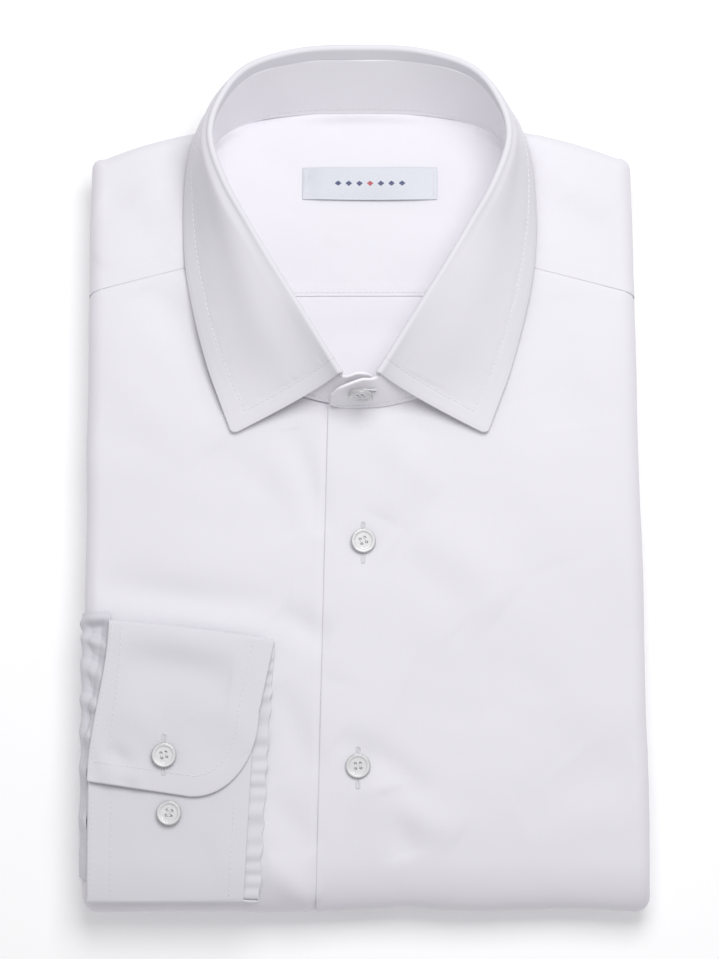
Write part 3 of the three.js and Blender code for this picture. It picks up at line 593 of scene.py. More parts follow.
STRAIGHT_ROWS_Y = 20.0  # below this the rows of the fronts run straight across
SHOULDER_V = 90.0  # where a column lies here decides how far up it reaches
FRONT_ROWS = ((STRAIGHT_ROWS_Y, FOLD_START_Y, 112), (FOLD_START_Y, UNDERSIDE_START_V, 26),
              (UNDERSIDE_START_V, TAIL_ROLL_V, 70),
              (TAIL_ROLL_V, TAIL_ROLL_V - EDGE_ROLL * TAIL_WRAP, 14))


def front_grid(side, on_roll, on_edge, offset):
    """u and v of a front's grid. Each column lies at on_roll times the start of the side roll, plus
    on_edge times the front edge, plus its offset. Rows follow the seam and the neckline at the top."""
    def columns(v):
        """u of each column at v."""
        return on_roll * side_roll_x(side, v) + on_edge * front_edge_u(v) + offset

    level = columns(SHOULDER_V)
    neck_v = np.where(np.abs(level) < NECK_HALF_WIDTH, front_neck_y(level) - NECK_CLEARANCE, np.inf)
    top = np.minimum(neck_v, yoke_seam_y(level) + YOKE_TUCK)
    upper = mix(top, STRAIGHT_ROWS_Y, steps((0, 1, 46))[:, None])
    v = np.concatenate([upper, steps(*FRONT_ROWS)[1:, None] + 0 * level])
    return columns(v), v


def under_yoke(u, v):
    """How far a front has gone down under the yoke's edge."""
    outside_neck = np.abs(u) > NECK_HALF_WIDTH - 2
    return YOKE_TUCK_DEPTH * smoothstep(v - yoke_seam_y(u), -1.2, 0.1) * outside_neck


SIDE_TURNS = EDGE_ROLL * steps((0, SIDE_WRAP, 16))
EDGE_BAND = 16.0  # the columns run with the front edge within this distance
RIGHT_DIMPLE = 0.35

on_side = np.ones(len(SIDE_TURNS) - 1)
across = steps((0, 1, 56))[:-1]
beside_edge = steps((-EDGE_BAND, 4, 24), (4, UNDERLAP_WIDTH, 12))
u, v = front_grid(
    -1.0,
    np.concatenate([-on_side, across - 1, 0 * beside_edge]),
    np.concatenate([0 * on_side, across, 1 + 0 * beside_edge]),
    np.concatenate([-SIDE_TURNS[:0:-1], -EDGE_BAND * across, beside_edge]),
)
right_depth = UNDERLAP_DIP * (1 - smoothstep(front_edge_u(v) - u, -0.6, 3.5)) + under_yoke(u, v)
right_depth = right_depth + button_channel(u, v) - body_relief(u, v)
right_depth = right_depth - button_pull(u, v, RIGHT_DIMPLE)
right_front = skin("right_front", body_point(u, v, right_depth + CLOTH / 2), CLOTH, u, v, shirting)
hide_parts("front_right")

# ---- Left front: the side that carries the buttonholes ------------------------------------------
# The same poplin. Its free edge is a plain placket, the cloth turned in twice and left unstitched,
# and it lies over the right front from the neck down.

PLACKET = 0.95  # thickness of the turned-in edge
PLACKET_WIDTH = 33.0
PLACKET_RISE = 0.35  # the layers under the edge lift it this far
PLACKET_WAVER = 0.12
PLACKET_BAND = 42.0  # the columns run with the front edge within this distance
LEFT_DIMPLE = 0.45


def in_placket(from_edge):
    """1 within the turned-in edge, and 0 outside it."""
    return 1 - smoothstep(from_edge, PLACKET_WIDTH - 1.5, PLACKET_WIDTH + 1.5)


def left_front_depth(u, v):
    """Depth of the left front's outer surface. The placket's layers lift it, most at its free edge,
    which wavers as a sine of slowly changing length."""
    from_edge = u - front_edge_u(v)
    rise = in_placket(from_edge) * PLACKET_RISE * mix(1.0, 0.5, smoothstep(from_edge, 2, 30))
    waver = np.sin(v / 9.0 + np.sin(v / 23.0)) * (1 - smoothstep(from_edge, 0, 9))
    level = under_yoke(u, v) + button_channel(u, v) - body_relief(u, v) - button_pull(u, v, LEFT_DIMPLE)
    return level - (rise + PLACKET_WAVER * waver) * (1 - lying(v))


beside_edge = steps((0.48, 5, 12), (5, 28, 14), (28, PLACKET_BAND, 14))[:-1]
across = steps((0, 1, 60))[:-1]
round_side = np.ones(len(SIDE_TURNS))
u, v = front_grid(
    1.0,
    np.concatenate([0 * beside_edge, across, round_side]),
    np.concatenate([1 + 0 * beside_edge, 1 - across, 0 * round_side]),
    np.concatenate([beside_edge, PLACKET_BAND * (1 - across), SIDE_TURNS]),
)
left_thickness = mix(CLOTH, PLACKET, in_placket(u - front_edge_u(v)))
left_middle = body_point(u, v, left_front_depth(u, v) + left_thickness / 2)
left_front = skin("left_front", left_middle, left_thickness, u, v, shirting)
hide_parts("front_left")

# ---- Yoke: over the shoulders and behind the neck -----------------------------------------------
# Its outer layer comes forward over both shoulders. The front seam is felled: its turned edge lies
# on the front and its allowance makes a low ridge behind it.

YOKE_EDGE = 0.38  # thickness at the pressed edge
YOKE_EDGE_RISE = 0.10
YOKE_ALLOWANCE = 7.0
YOKE_CLEARANCE = 0.35  # behind the seam and the neckline

outer_x = steps((0, 1, 22))[:-1]
neck_turns = np.sqrt(np.sin(steps((np.pi / 2, 0, 26)))) * NECK_HALF_WIDTH
half_roll = np.concatenate([on_side, 1 - outer_x, 0 * neck_turns])
half_offset = np.concatenate([SIDE_TURNS[:0:-1], outer_x * NECK_HALF_WIDTH, neck_turns])
side = np.concatenate([-np.ones(len(half_roll)), np.ones(len(half_roll) - 1)])
on_roll = np.concatenate([half_roll, half_roll[-2::-1]])
offset = np.concatenate([half_offset, half_offset[-2::-1]])
level = side * (on_roll * side_roll_x(side, SHOULDER_V) + offset)
outside_neck = np.abs(level) >= NECK_HALF_WIDTH - 1e-6
yoke_front = np.where(outside_neck, yoke_seam_y(level), unroll_y(level, back_neck_y(level)))
yoke_front = yoke_front + YOKE_CLEARANCE
flat_x = np.clip(level, -side_roll_x(-1.0, SHOULDER_V), side_roll_x(1.0, SHOULDER_V))
shoulder_start = shoulder_y(flat_x) - EDGE_ROLL
flat_end = np.maximum(yoke_front + 2.0, shoulder_start)
v = np.concatenate([
    mix(yoke_front, flat_end, steps((0, 0.16, 14), (0.16, 1, 34))[:-1, None]),
    mix(flat_end, shoulder_start + EDGE_ROLL * SHOULDER_WRAP, steps((0, 1, 26))[:, None]),
])[::-1]
u = side * (on_roll * side_roll_x(side, v) + offset)
from_seam = np.where(outside_neck, v - yoke_seam_y(u), np.inf)
in_edge = 1 - smoothstep(from_seam, YOKE_ALLOWANCE - 1.2, YOKE_ALLOWANCE + 1.2)
yoke_thickness = mix(CLOTH, YOKE_EDGE, in_edge)
yoke_depth = -YOKE_EDGE_RISE * in_edge - body_relief(u, v)
yoke_middle = body_point(u, v, yoke_depth + yoke_thickness / 2)
outer_yoke = skin("outer_yoke", yoke_middle, yoke_thickness, u, v, shirting)
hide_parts("yoke")

# ---- Inner yoke and back, seen inside the neck --------------------------------------------------
# The yoke's second layer, and the back panel that is sewn to its lower edge. The seam allowance
# lies under the inner yoke, whose turned edge is stitched down just above the seam.

NECK_FLOOR_HALF_WIDTH = 85.0
NECK_FLOOR_START_Y = 12.0
NECK_FLOOR_HOLD_X = 72.4  # outside this the inner yoke ends on a straight line
NECK_FLOOR_DEPTH = (3.0, 1.6)  # in front and behind
NECK_FLOOR_RISE_V = (100.0, 150.0)
BACK_YOKE_SEAM_Y = 82.0
BACK_TUCK = 4.0
BACK = 0.6  # thickness, as the inner yoke's
INNER_YOKE_EDGE = 0.36
INNER_EDGE_RISE, INNER_STITCH_DIP = 0.12, 0.12
LIP_DEPTH = (-1.1, 0.3)  # at the neckline, on the flat top and on the shoulder's roll
LIP_END_X = (69.0, 72.0)

FLOOR_STRENGTH = 1.8  # times the rises in the table
FLOOR_DRIFT = (17, 30.0, 0.20)  # seed, wave length and rise
FLOOR_CREASES = (
    # from u, from v, to u, to v, width, rise, bow
    (-52, 92, -30, 120, 7, 0.35, 2),
    (-30, 84, -12, 108, 6, -0.35, -2),
    (14, 90, 44, 116, 8, 0.35, 3),
    (-48, 150, -26, 132, 7, -0.35, 2),
    (36, 156, 58, 126, 7, 0.35, -2),
    (-36, 60, 22, 68, 7, -0.40, 2),
    (-20, 40, 30, 58, 8, 0.40, 2),
)


def floor_depth(v):
    """Depth of the neck's floor, which rises towards the neck seam."""
    return mix(*NECK_FLOOR_DEPTH, smoothstep(v, *NECK_FLOOR_RISE_V))


def floor_relief(u, v):
    """Height of the creases inside the neck."""
    return FLOOR_STRENGTH * creases(u, v, FLOOR_CREASES) + drift(u, v, *FLOOR_DRIFT)


floor_u = steps((-NECK_FLOOR_HALF_WIDTH, NECK_FLOOR_HALF_WIDTH, 120))
inner_top = unroll_y(floor_u, back_neck_y(np.minimum(np.abs(floor_u), NECK_FLOOR_HOLD_X))) - 0.4
v = mix(inner_top, BACK_YOKE_SEAM_Y + 0.5, steps((0, 0.9, 60), (0.9, 1, 16))[:, None])
u = floor_u + 0 * v
from_seam = v - BACK_YOKE_SEAM_Y
turned_edge = 1 - smoothstep(from_seam, 4.5, 6.5)
stitch_line = np.exp(-(((from_seam - 2.0) / 0.7) ** 2))
inner_depth = floor_depth(v) - floor_relief(u, v)
inner_depth = inner_depth - INNER_EDGE_RISE * turned_edge + INNER_STITCH_DIP * stitch_line
to_neck = smoothstep(v - inner_top, -6.0, 0.0) ** 1.5 * (1 - smoothstep(np.abs(u), *LIP_END_X))
rolled = smoothstep(inner_top - shoulder_y(u) + EDGE_ROLL, 0.0, 8.0)
inner_depth = mix(inner_depth, mix(*LIP_DEPTH, rolled), to_neck)
inner_thickness = mix(INNER_YOKE_EDGE, BACK, smoothstep(from_seam, 0.5, 3.0))
inner_middle = body_point(u, v, inner_depth + inner_thickness / 2)
inner_yoke = skin("inner_yoke", inner_middle, inner_thickness, u, v, shirting)
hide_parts("yoke_inner")

v = steps((BACK_YOKE_SEAM_Y + BACK_TUCK, BACK_YOKE_SEAM_Y - 4, 16),
          (BACK_YOKE_SEAM_Y - 4, NECK_FLOOR_START_Y, 50))[:, None] + 0 * floor_u
u = floor_u + 0 * v
under_seam = YOKE_TUCK_DEPTH * smoothstep(v - BACK_YOKE_SEAM_Y, -1.0, 0.4)
back_depth = floor_depth(v) - floor_relief(u, v) + under_seam
back_panel = skin("back_panel", body_point(u, v, back_depth + BACK / 2), BACK, u, v, shirting)
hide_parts("back")

# ---- Neck label ---------------------------------------------------------------------------------
# A strip of grey-blue satin, sewn to the inner yoke at its two short ends, so that its long edges
# stand a little off the cloth. A plain row of woven lozenges is its only pattern.

LABEL_X = (-25.4, 34.8)
LABEL_Y = (127.2, 142.0)
LABEL_END = 1.4  # from each short end to its stitches
LABEL = 0.35  # thickness
LABEL_RISE = 0.55  # of its outer face over the inner yoke, where it is held down
LABEL_BOW, LABEL_SAG = 0.55, 0.5  # the lower edge stands off and hangs down this far in the middle
LABEL_THREADS = (0.00022, 0.0003, 1)  # metres across and along, as are the lozenges' sizes
LOZENGE_SPACING, LOZENGE_HALF_HEIGHT, LOZENGE_SLANT = 0.0048, 0.00125, 0.8
LOZENGE_ROW = 0.0168  # from the row's middle to its ends


def label_surface(u, v):
    """The label's outer surface: held down at both ends, bowed up between them and most of all at
    its lower edge, with a slight wave."""
    along = (u - LABEL_X[0]) / (LABEL_X[1] - LABEL_X[0])
    low = 1 - (v - LABEL_Y[0]) / (LABEL_Y[1] - LABEL_Y[0])
    held = smoothstep(np.minimum(along, 1 - along), 0.01, 0.16)
    arch = np.sin(np.pi * along)
    bow = held * (0.35 + LABEL_BOW * low**2 * arch + 0.12 * np.sin(9.5 * along + 1.0))
    depth = floor_depth(v) - floor_relief(u, v) - LABEL_RISE - bow
    return body_point(u, v - LABEL_SAG * arch * low, depth)


def blend_colours(tree, part, low, high):
    """low where part is 0, high where it is 1."""
    return node(tree, "ShaderNodeMix", {0: part, 6: low, 7: high}, data_type="RGBA").outputs[2]


def label_satin(colour, dark, red):
    """Woven satin: fine ribs across a sheen, and a row of lozenges |x| / a + |y| / b < 1 stepped to
    whole threads, the middle one red."""
    material, tree, shader = new_material("label_satin", Roughness=0.38, Sheen_Weight=0.3,
                                          Anisotropic=0.5)
    lengths = cloth_lengths(tree)
    thread = calculate(tree, "SNAP", lengths, LABEL_THREADS, kind="ShaderNodeVectorMath")
    axes = node(tree, "ShaderNodeSeparateXYZ", {0: thread})
    x = calculate(tree, "SUBTRACT", axes.outputs[0], sum(LABEL_X) / 2000)
    y = calculate(tree, "SUBTRACT", axes.outputs[1], sum(LABEL_Y) / 2000)
    x_in = calculate(tree, "WRAP", x, LOZENGE_SPACING / 2, -LOZENGE_SPACING / 2)
    x_off, y_off, x_far = (calculate(tree, "ABSOLUTE", value) for value in (x_in, y, x))
    far = calculate(tree, "MULTIPLY_ADD", x_off, LOZENGE_SLANT, y_off)
    inside = calculate(tree, "LESS_THAN", far, LOZENGE_HALF_HEIGHT)
    motif = calculate(tree, "MULTIPLY", inside, calculate(tree, "LESS_THAN", x_far, LOZENGE_ROW))
    central = calculate(tree, "LESS_THAN", x_far, LOZENGE_SPACING / 2)
    ground = node(tree, "ShaderNodeTexNoise", {"Vector": lengths, "Scale": 900.0})
    pale = node(tree, "ShaderNodeMapRange", {"Value": ground.outputs[0], "To Min": 0.93, "To Max": 1.04})
    satin = calculate(tree, "MULTIPLY", colour[:3], pale.outputs[0], kind="ShaderNodeVectorMath")
    woven = blend_colours(tree, motif, satin, blend_colours(tree, central, dark, red))
    tree.links.new(woven, shader.inputs["Base Color"])
    ribs = node(tree, "ShaderNodeTexWave", {"Vector": lengths, "Scale": 500.0}, bands_direction="Y")
    add_bump(tree, shader, ribs.outputs[0], 0.3, 0.00005)
    return material


u, v = np.meshgrid(steps((*LABEL_X, 100)), steps((*LABEL_Y[::-1], 28)))
satin = label_satin((0.62, 0.645, 0.695, 1), (0.035, 0.05, 0.14, 1), (0.42, 0.06, 0.08, 1))
label = skin("woven_label", label_surface(u, v), LABEL, u, v, satin)
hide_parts("neck_label")

# ---- Hidden layers: both sides, the left sleeve, the back and the tail --------------------------
# All of them lie folded inside the fronts and the yoke. Only their rounded edges show, layer on
# layer, in the mouth between the upper and the lower half and where the tail is turned in.

CREASE_DEPTH = 13.2
LAYERS_WRAP = np.radians(155.0)
LAYERS_INSET = 8.0  # the inner face stops this far inside the start of each roll
LAYERS_DEPTH = 1.5  # under one front, and twice that under both
LAYERS_CLEARANCE = 2.7  # under the floor of the neck
LAYERS_BEND_V = 9.0  # above this the rows bend to follow the shoulder
LAYER_TURN = 0.30  # each layer's share of the rolled edge, in radians
LAYER_FIRST_TURN = 1.75
LAYER_GROOVE, LAYER_SET_BACK = 0.85, 0.35


def layers_depth(u, v):
    """Depth of the outer face, which leaves room for both fronts, their buttons and the floor of
    the neck."""
    beside = np.abs(u - front_edge_u(v) - BUTTON_LINE)
    depth = LAYERS_DEPTH * (2 - smoothstep(beside, 36.0, 48.0))
    under = smoothstep(v, UNDERSIDE_START_V + 33, UNDERSIDE_START_V + 20)
    depth = depth + CHANNEL_DEPTH * under * (1 - smoothstep(beside, 19.0, 36.0))
    in_neck = smoothstep(v, 2.0, LAYERS_BEND_V) * (1 - smoothstep(np.abs(u), 86.0, 93.0))
    floor = (floor_depth(v) + LAYERS_CLEARANCE) * in_neck
    return np.maximum(depth, floor) + np.maximum(0, -body_relief(u, v))


turns = EDGE_ROLL * steps((0, LAYERS_WRAP, 30))
across = steps((0, 1, 76))
over = np.concatenate([-turns[:0:-1], 0 * across, turns[1:]])
share = np.concatenate([0 * turns[1:], across, 1 + 0 * turns[1:]])
level = mix(-side_roll_x(-1.0, SHOULDER_V), side_roll_x(1.0, SHOULDER_V), share)
shoulder_start = shoulder_y(level) - EDGE_ROLL
v = np.concatenate([
    steps((TAIL_ROLL_V - EDGE_ROLL * TAIL_WRAP, TAIL_ROLL_V, 26), (TAIL_ROLL_V, UNDERSIDE_START_V, 40),
          (UNDERSIDE_START_V, FOLD_START_Y, 22),
          (FOLD_START_Y, LAYERS_BEND_V, 40))[:-1, None] + 0 * level,
    mix(LAYERS_BEND_V, shoulder_start, steps((0, 1, 40))[:-1, None]),
    shoulder_start + EDGE_ROLL * steps((0, LAYERS_WRAP, 26))[:, None],
])
flat_u = mix(-side_roll_x(-1.0, v), side_roll_x(1.0, v), share)
u = flat_u + over
over_shoulder = np.maximum(0, v - shoulder_start)
over_tail = np.maximum(0, TAIL_ROLL_V - v)
turn = np.maximum(np.maximum(np.abs(over), over_shoulder), over_tail) / EDGE_ROLL
# grooves part the layers: the root of a sine of the turn, which wavers along the edge
waver = turn + 0.05 * np.sin((u + v) / 31.0) + 0.04 * np.sin((u - v) / 12.0)
between = np.abs(np.sin(np.pi * (waver - LAYER_FIRST_TURN) / LAYER_TURN)) ** 0.5
grooves = LAYER_GROOVE * (1 - between) * smoothstep(turn, 1.7, 1.9)
grooves = grooves + LAYER_SET_BACK * smoothstep(turn, 2.2, 2.6)
outer = body_point(u, v, layers_depth(u, v) + grooves)
roll_end = EDGE_ROLL * LAYERS_WRAP
inner_u = flat_u - np.sign(over) * LAYERS_INSET * (1 - np.abs(over) / roll_end)
shoulder_end = shoulder_start - LAYERS_INSET * (1 - over_shoulder / roll_end)
tail_end = TAIL_ROLL_V + LAYERS_INSET * (1 - over_tail / roll_end)
inner_v = np.select([v >= shoulder_start, v <= TAIL_ROLL_V], [shoulder_end, tail_end], v)
inner = body_point(inner_u, inner_v, CREASE_DEPTH)
i, j = border_of(*v.shape)
rings = [mix(outer[i, j], inner[i, j], part) for part in (0.25, 0.5, 0.75)]
hidden = wall("hidden_layers", outer, inner, rings, u, v, shirting)
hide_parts("folded_layers")

# ---- Collar stand -------------------------------------------------------------------------------
# A stiff band, interlined and sewn to the neckline. Its left end laps over its right end at the
# front and buttons there. The leaf is sewn into its top edge.

STAND = 1.4  # thickness
STAND_LIFT = 1.0  # it clears the neckline by this much
STAND_GAP = 0.3  # to the leaf sewn into its top
STAND_TUCK = 1.4  # its right end goes in and down this far, to pass under its left end
STAND_SEAM = 1.8  # from the neckline to its stitches
SEAM_GROOVE, SEAM_PUCKER = 0.18, 0.07
STAND_DRIFT = (31, 26.0, 0.12)  # seed, wave length and rise
LEAF_RISE = (7.0, 3.0)  # the fold lies this far above the stand, at the back and the front
LEAF_FOLD_RADIUS = 0.95

FRONT = len(COLLAR_LINES) - 1.0  # the place of the front along the collar, -FRONT at its right end
# Past the leaf the stand runs on: neck (x, y, z) and top (x, y, z) of its two ends.
STAND_UNDER = np.array([(6, 35, 29.4, 6.5, 42.6, 43.5), (-2, 34.6, 29.2, -0.5, 42.8, 47)])
STAND_OVER = np.array([(2, 31.4, 29.1, 0.5, 39.6, 48.4), (-8, 31.4, 29.1, -7.5, 36.8, 46.8),
                       (-12.6, 32.2, 32, -11.8, 34.8, 42)])


def mirrored(half):
    """The rows of one half, from the centre back on, with their mirror image before them."""
    return np.concatenate([half[:0:-1] * [-1, 1, 1], half])


def smooth_curve(points, at):
    """A Catmull-Rom curve: cubic pieces through the points, each with a slope of half the chord
    between its neighbours. at is 0 at the first point, 1 at the second and so on."""
    ends = 2 * points[:1] - points[1:2], 2 * points[-1:] - points[-2:-1]
    padded = np.concatenate([ends[0], points, ends[1]])
    k = np.clip(np.floor(at).astype(int), 0, len(points) - 2)
    t = (at - k)[..., None]
    before, start, end, after = (padded[k + step] for step in range(4))
    slope_in, slope_out = (end - before) / 2, (after - start) / 2
    bend = 2 * start - 2 * end + slope_in + slope_out
    return ((bend * t + 3 * (end - start) - 2 * slope_in - slope_out) * t + slope_in) * t + start


neck_x, neck_y = COLLAR_LINES[:, 0], COLLAR_LINES[:, 1]
neck_z = body_point(neck_x, unroll_y(neck_x, neck_y))[:, 2]
NECK_LINE = mirrored(np.stack([neck_x, neck_y, neck_z + STAND_LIFT], -1))
FOLD_LINE = mirrored(COLLAR_LINES[:, 2:5])
EDGE_LINE = mirrored(COLLAR_LINES[:, 5:8])


def collar_frame(at):
    """Neck, fold and edge at a place along the collar, the ways up and out, and the leaf's rise."""
    neck, fold, edge = (smooth_curve(line, at + FRONT) for line in (NECK_LINE, FOLD_LINE, EDGE_LINE))
    up = unit(fold - neck)
    fall = edge - fold
    out = unit(fall - up * np.sum(fall * up, -1, keepdims=True))
    rise = mix(*LEAF_RISE, np.abs(at) / FRONT)[..., None]
    return neck, fold, edge, up, out, rise


at = np.linspace(-FRONT, FRONT, 21)
neck, fold, edge, up, out, rise = collar_frame(at)
tucked = STAND_TUCK * smoothstep(-at, FRONT - 3, FRONT)[:, None]
inward = np.array([0.0, 1.0, 0.0]) * tucked
lows = np.concatenate([STAND_UNDER[:, :3], neck + inward, STAND_OVER[:, :3]])
tops = np.concatenate([STAND_UNDER[:, 3:], fold - up * (rise + STAND_GAP + tucked) + inward,
                       STAND_OVER[:, 3:]])
along = steps((0, 2, 20), (2, 22, 200), (22, 24, 24), (24, 25, 14))
part = steps((0, 0.12, 6), (0.12, 0.9, 20), (0.9, 1, 6))
low = smooth_curve(lows, along)[:, None]
top = smooth_curve(tops, along)[:, None]
# both ends of the stand are rounded at the top
at_end = np.maximum(smoothstep(along, 24.2, 25.0), smoothstep(along, 0.7, 0.0))[:, None]
part = part * (1 - 0.10 * at_end**2)
stand_middle = mix(low, top, part[..., None])
stand_normal = grid_normal(stand_middle)
travel = np.cumsum(np.linalg.norm(np.gradient(low[:, 0], axis=0), axis=-1))[:, None]
from_neck = part * np.linalg.norm(top - low, axis=-1)
groove = SEAM_GROOVE * np.exp(-(((from_neck - STAND_SEAM) / 0.6) ** 2))
pucker = SEAM_PUCKER * np.sin(travel / 1.3) * np.exp(-(((from_neck - 2.6) / 2.0) ** 2))
soft = drift(travel, from_neck, *STAND_DRIFT)
stand_middle = stand_middle + stand_normal * (soft + pucker)[..., None]
# a lighter copy of the poplin: painted light, which brightens the stand's inner face where it lies in
# shade
stand_painted_light = poplin("stand_poplin_painted_light", (0.905, 0.890, 0.925))
# the two faces close in along the seam, so both show its groove
stand = skin("neck_stand", stand_middle, STAND - 2 * groove, travel, from_neck, stand_painted_light)
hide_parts("collar_stand")

# ---- Collar leaf --------------------------------------------------------------------------------
# Two layers and an interlining, turned out at the points and stitched a foot's width from the
# edges. It stands up from the band, folds over and falls to the shoulders and the front.

LEAF = 1.2  # thickness
LEAF_EDGE = 1.30  # thickness outside the stitching, where the allowances lie
LEAF_STITCH = 6.4  # from the edge to the stitches
LEAF_FURROW = 0.09
LEAF_POINT_RADIUS = 2.2
LEAF_SPREAD = 16.6  # millimetres of outer edge to one step along the collar, near the points
LEAF_LEAVES = (0.06, -0.35)  # how the fall leaves the fold, out and up, as shares of its reach
LEAF_LEAVES_FRONT = (0.20, -0.30)  # the same at the front, level and up
LEAF_DRIFT = (41, 34.0, 0.16)  # seed, wave length and rise
LEAF_PUCKER = (43, 7.0, 0.06)

LEAF_CREASES = (
    # from along, from the edge, to along, to the edge, width, rise, bow. Along the collar is from
    # the centre back, below 0 on the wearer's right; the edge is the outer one.
    (-158, 26, -14, 30, 10, 2.0, 3),
    (-120, 6, -30, 10, 6, -0.7, -1),
    (-70, 16, -16, 40, 7, -0.5, 3),
    (-40, 8, -10, 26, 6, 0.5, -2),
    (14, 34, 158, 27, 11, 1.3, -3),
    (30, 12, 96, 20, 7, -0.6, 2),
    (12, 12, 34, 36, 7, 0.4, 2),
)


def leaf_surface(at, part):
    """Middle of the leaf: up from the band (part -1 to 0), half round the fold (0 to 1), then along
    a quadratic curve that leaves the fold steeply and reaches the outer edge (1 to 2)."""
    neck, fold, edge, up, out, rise = collar_frame(at)
    part = part[..., None]
    centre = fold - up * LEAF_FOLD_RADIUS + out * LEAF_FOLD_RADIUS
    turn = np.pi * (1 - np.clip(part, 0, 1))
    turned = centre + LEAF_FOLD_RADIUS * (out * np.cos(turn) + up * np.sin(turn))
    standing = turned - up * (rise - LEAF_FOLD_RADIUS) * np.clip(-part, 0, 1)
    start = centre + out * LEAF_FOLD_RADIUS
    reach = np.linalg.norm(edge - start, axis=-1, keepdims=True)
    near_front = smoothstep(np.abs(at), FRONT - 2.5, FRONT)[..., None]
    level = unit((edge - start) * [1, 1, 0])
    steep = out * LEAF_LEAVES[0] + up * LEAF_LEAVES[1]
    sloping = level * LEAF_LEAVES_FRONT[0] + [0, 0, LEAF_LEAVES_FRONT[1]]
    control = start + mix(steep, sloping, near_front) * reach
    t = np.clip(part - 1, 0, 1)
    fall = start * (1 - t) ** 2 + control * 2 * t * (1 - t) + edge * t**2
    return np.where(part <= 1, standing, fall), reach[..., 0]


def nearest_edge(at, part, from_outer):
    """Distance to the leaf's nearest edge, infinite before the fall begins."""
    from_front = (FRONT - np.abs(at)) * LEAF_SPREAD
    return np.where(part > 1, np.minimum(from_front, from_outer), np.inf)


def leaf_relief(at, part, from_outer):
    """Height of the leaf's soft rolls, the puckers along its stitching and the stitches' furrow."""
    along = at * LEAF_SPREAD
    from_stitch = nearest_edge(at, part, from_outer) - LEAF_STITCH
    rolls = creases(along, from_outer, LEAF_CREASES) * (part > 1)
    rolls = rolls + drift(along, from_outer, *LEAF_DRIFT) * smoothstep(part, 0.9, 1.2)
    pucker = drift(along + from_outer, along - from_outer, *LEAF_PUCKER)
    pucker = pucker * np.exp(-(((from_stitch - 1.5) / 3.2) ** 2))
    furrow = LEAF_FURROW * np.exp(-((from_stitch / 0.8) ** 2))
    return (rolls + pucker) * smoothstep(part, 1.0, 1.15) - furrow


def leaf_shape(at, part):
    """The leaf with its two points rounded, its soft rolls and the furrow of its stitching.

    Near a point the distances inside the corner (from the front edge, from the outer edge) are
    scaled by max / root of the sum of squares, which turns the square corner into a round one.
    Returns the shape, the distance to the nearest edge and the length across the leaf.
    """
    plain, reach = leaf_surface(at, part)
    from_front = (FRONT - np.abs(at)) * LEAF_SPREAD
    from_outer = (2 - part) * reach
    r = LEAF_POINT_RADIUS
    over_front = np.clip((r - from_front) / r, 0, 1)
    over_outer = np.clip((r - from_outer) / r, 0, 1)
    scale = np.maximum(over_front, over_outer) / np.maximum(np.hypot(over_front, over_outer), 1e-9)
    both = (over_front > 0) & (over_outer > 0)
    from_front = np.where(both, r - r * over_front * scale, from_front)
    from_outer = np.where(both, r - r * over_outer * scale, from_outer)
    at = np.where(both, np.sign(at) * (FRONT - from_front / LEAF_SPREAD), at)
    part = np.where(both, 2 - from_outer / reach, part)
    plain, _ = leaf_surface(at, part)
    height = leaf_relief(at, part, from_outer)
    shape = plain - grid_normal(plain) * height[..., None]
    return shape, nearest_edge(at, part, from_outer), from_outer


from_end = steps((0, 0.16, 10), (0.16, 0.6, 14), (0.6, FRONT, 110))  # from a front edge to the back
at = np.concatenate([from_end - FRONT, FRONT - from_end[-2::-1]])
part = steps((-1, 0, 5), (0, 1, 14), (1, 1.8, 46), (1.8, 1.955, 20), (1.955, 2, 9))
at, part = np.meshgrid(at, part, indexing="ij")
middle, nearest, from_outer = leaf_shape(at, part)
in_allowance = 1 - smoothstep(nearest, LEAF_STITCH - 1.6, LEAF_STITCH - 0.3)
leaf_thickness = mix(LEAF, LEAF_EDGE, in_allowance) - 0.35 * (1 - smoothstep(nearest, 0, 1.6))
# a darker copy of the poplin: painted shade for the leaf's faces that slope away from the light
leaf_painted_shade = poplin("leaf_poplin_painted_shade", (0.757, 0.745, 0.785))
leaf = skin("turned_leaf", middle, leaf_thickness, at * LEAF_SPREAD, from_outer, leaf_painted_shade)
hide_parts("collar_leaf")

# ---- Right cuff ---------------------------------------------------------------------------------
# A barrel cuff of two layers and an interlining, flattened on the front with its buttoned side up.
# The buttonhole end, its corner rounded, comes over the top fold and laps the button end.

CUFF = 1.25  # thickness of one side of the cuff
CUFF_PLY = 1.6
CUFF_UNDER = 0.95  # height of the lowest ply's middle
CUFF_BOTTOM_Y = -187.2
CUFF_BUTTONS = ((-85.0, -123.6), (-82.6, -148.6))
UNDERLAP_END_Y = -106.0
UNDERLAP_INSET = 6.8  # the button end is this much narrower at the hand
FLAP_CORNER_Y = -141.0
FLAP_CORNER = (-72.0, -105.0)  # centre of the rounded corner
FLAP_CORNER_RADII = (27.6, 36.0)
CUFF_SEAM_X = (-109.2, -117.8)  # at the top and at the flap's end
CUFF_HAND_X = (-37.5, -44.0)  # at the top and at the bottom
FLAP_HAND_X = (-37.6, -44.4)  # at the top and where the corner starts
CUFF_DROOP = 2.2  # over the rounding of the bottom fold
TOP_TURN = 1.6  # radius of the fold at the top
BOTTOM_TURN = 0.8
CUFF_DRIFT = (53, 38.0, 0.25)  # seed, wave length and rise
CUFF_DIMPLE = 0.35

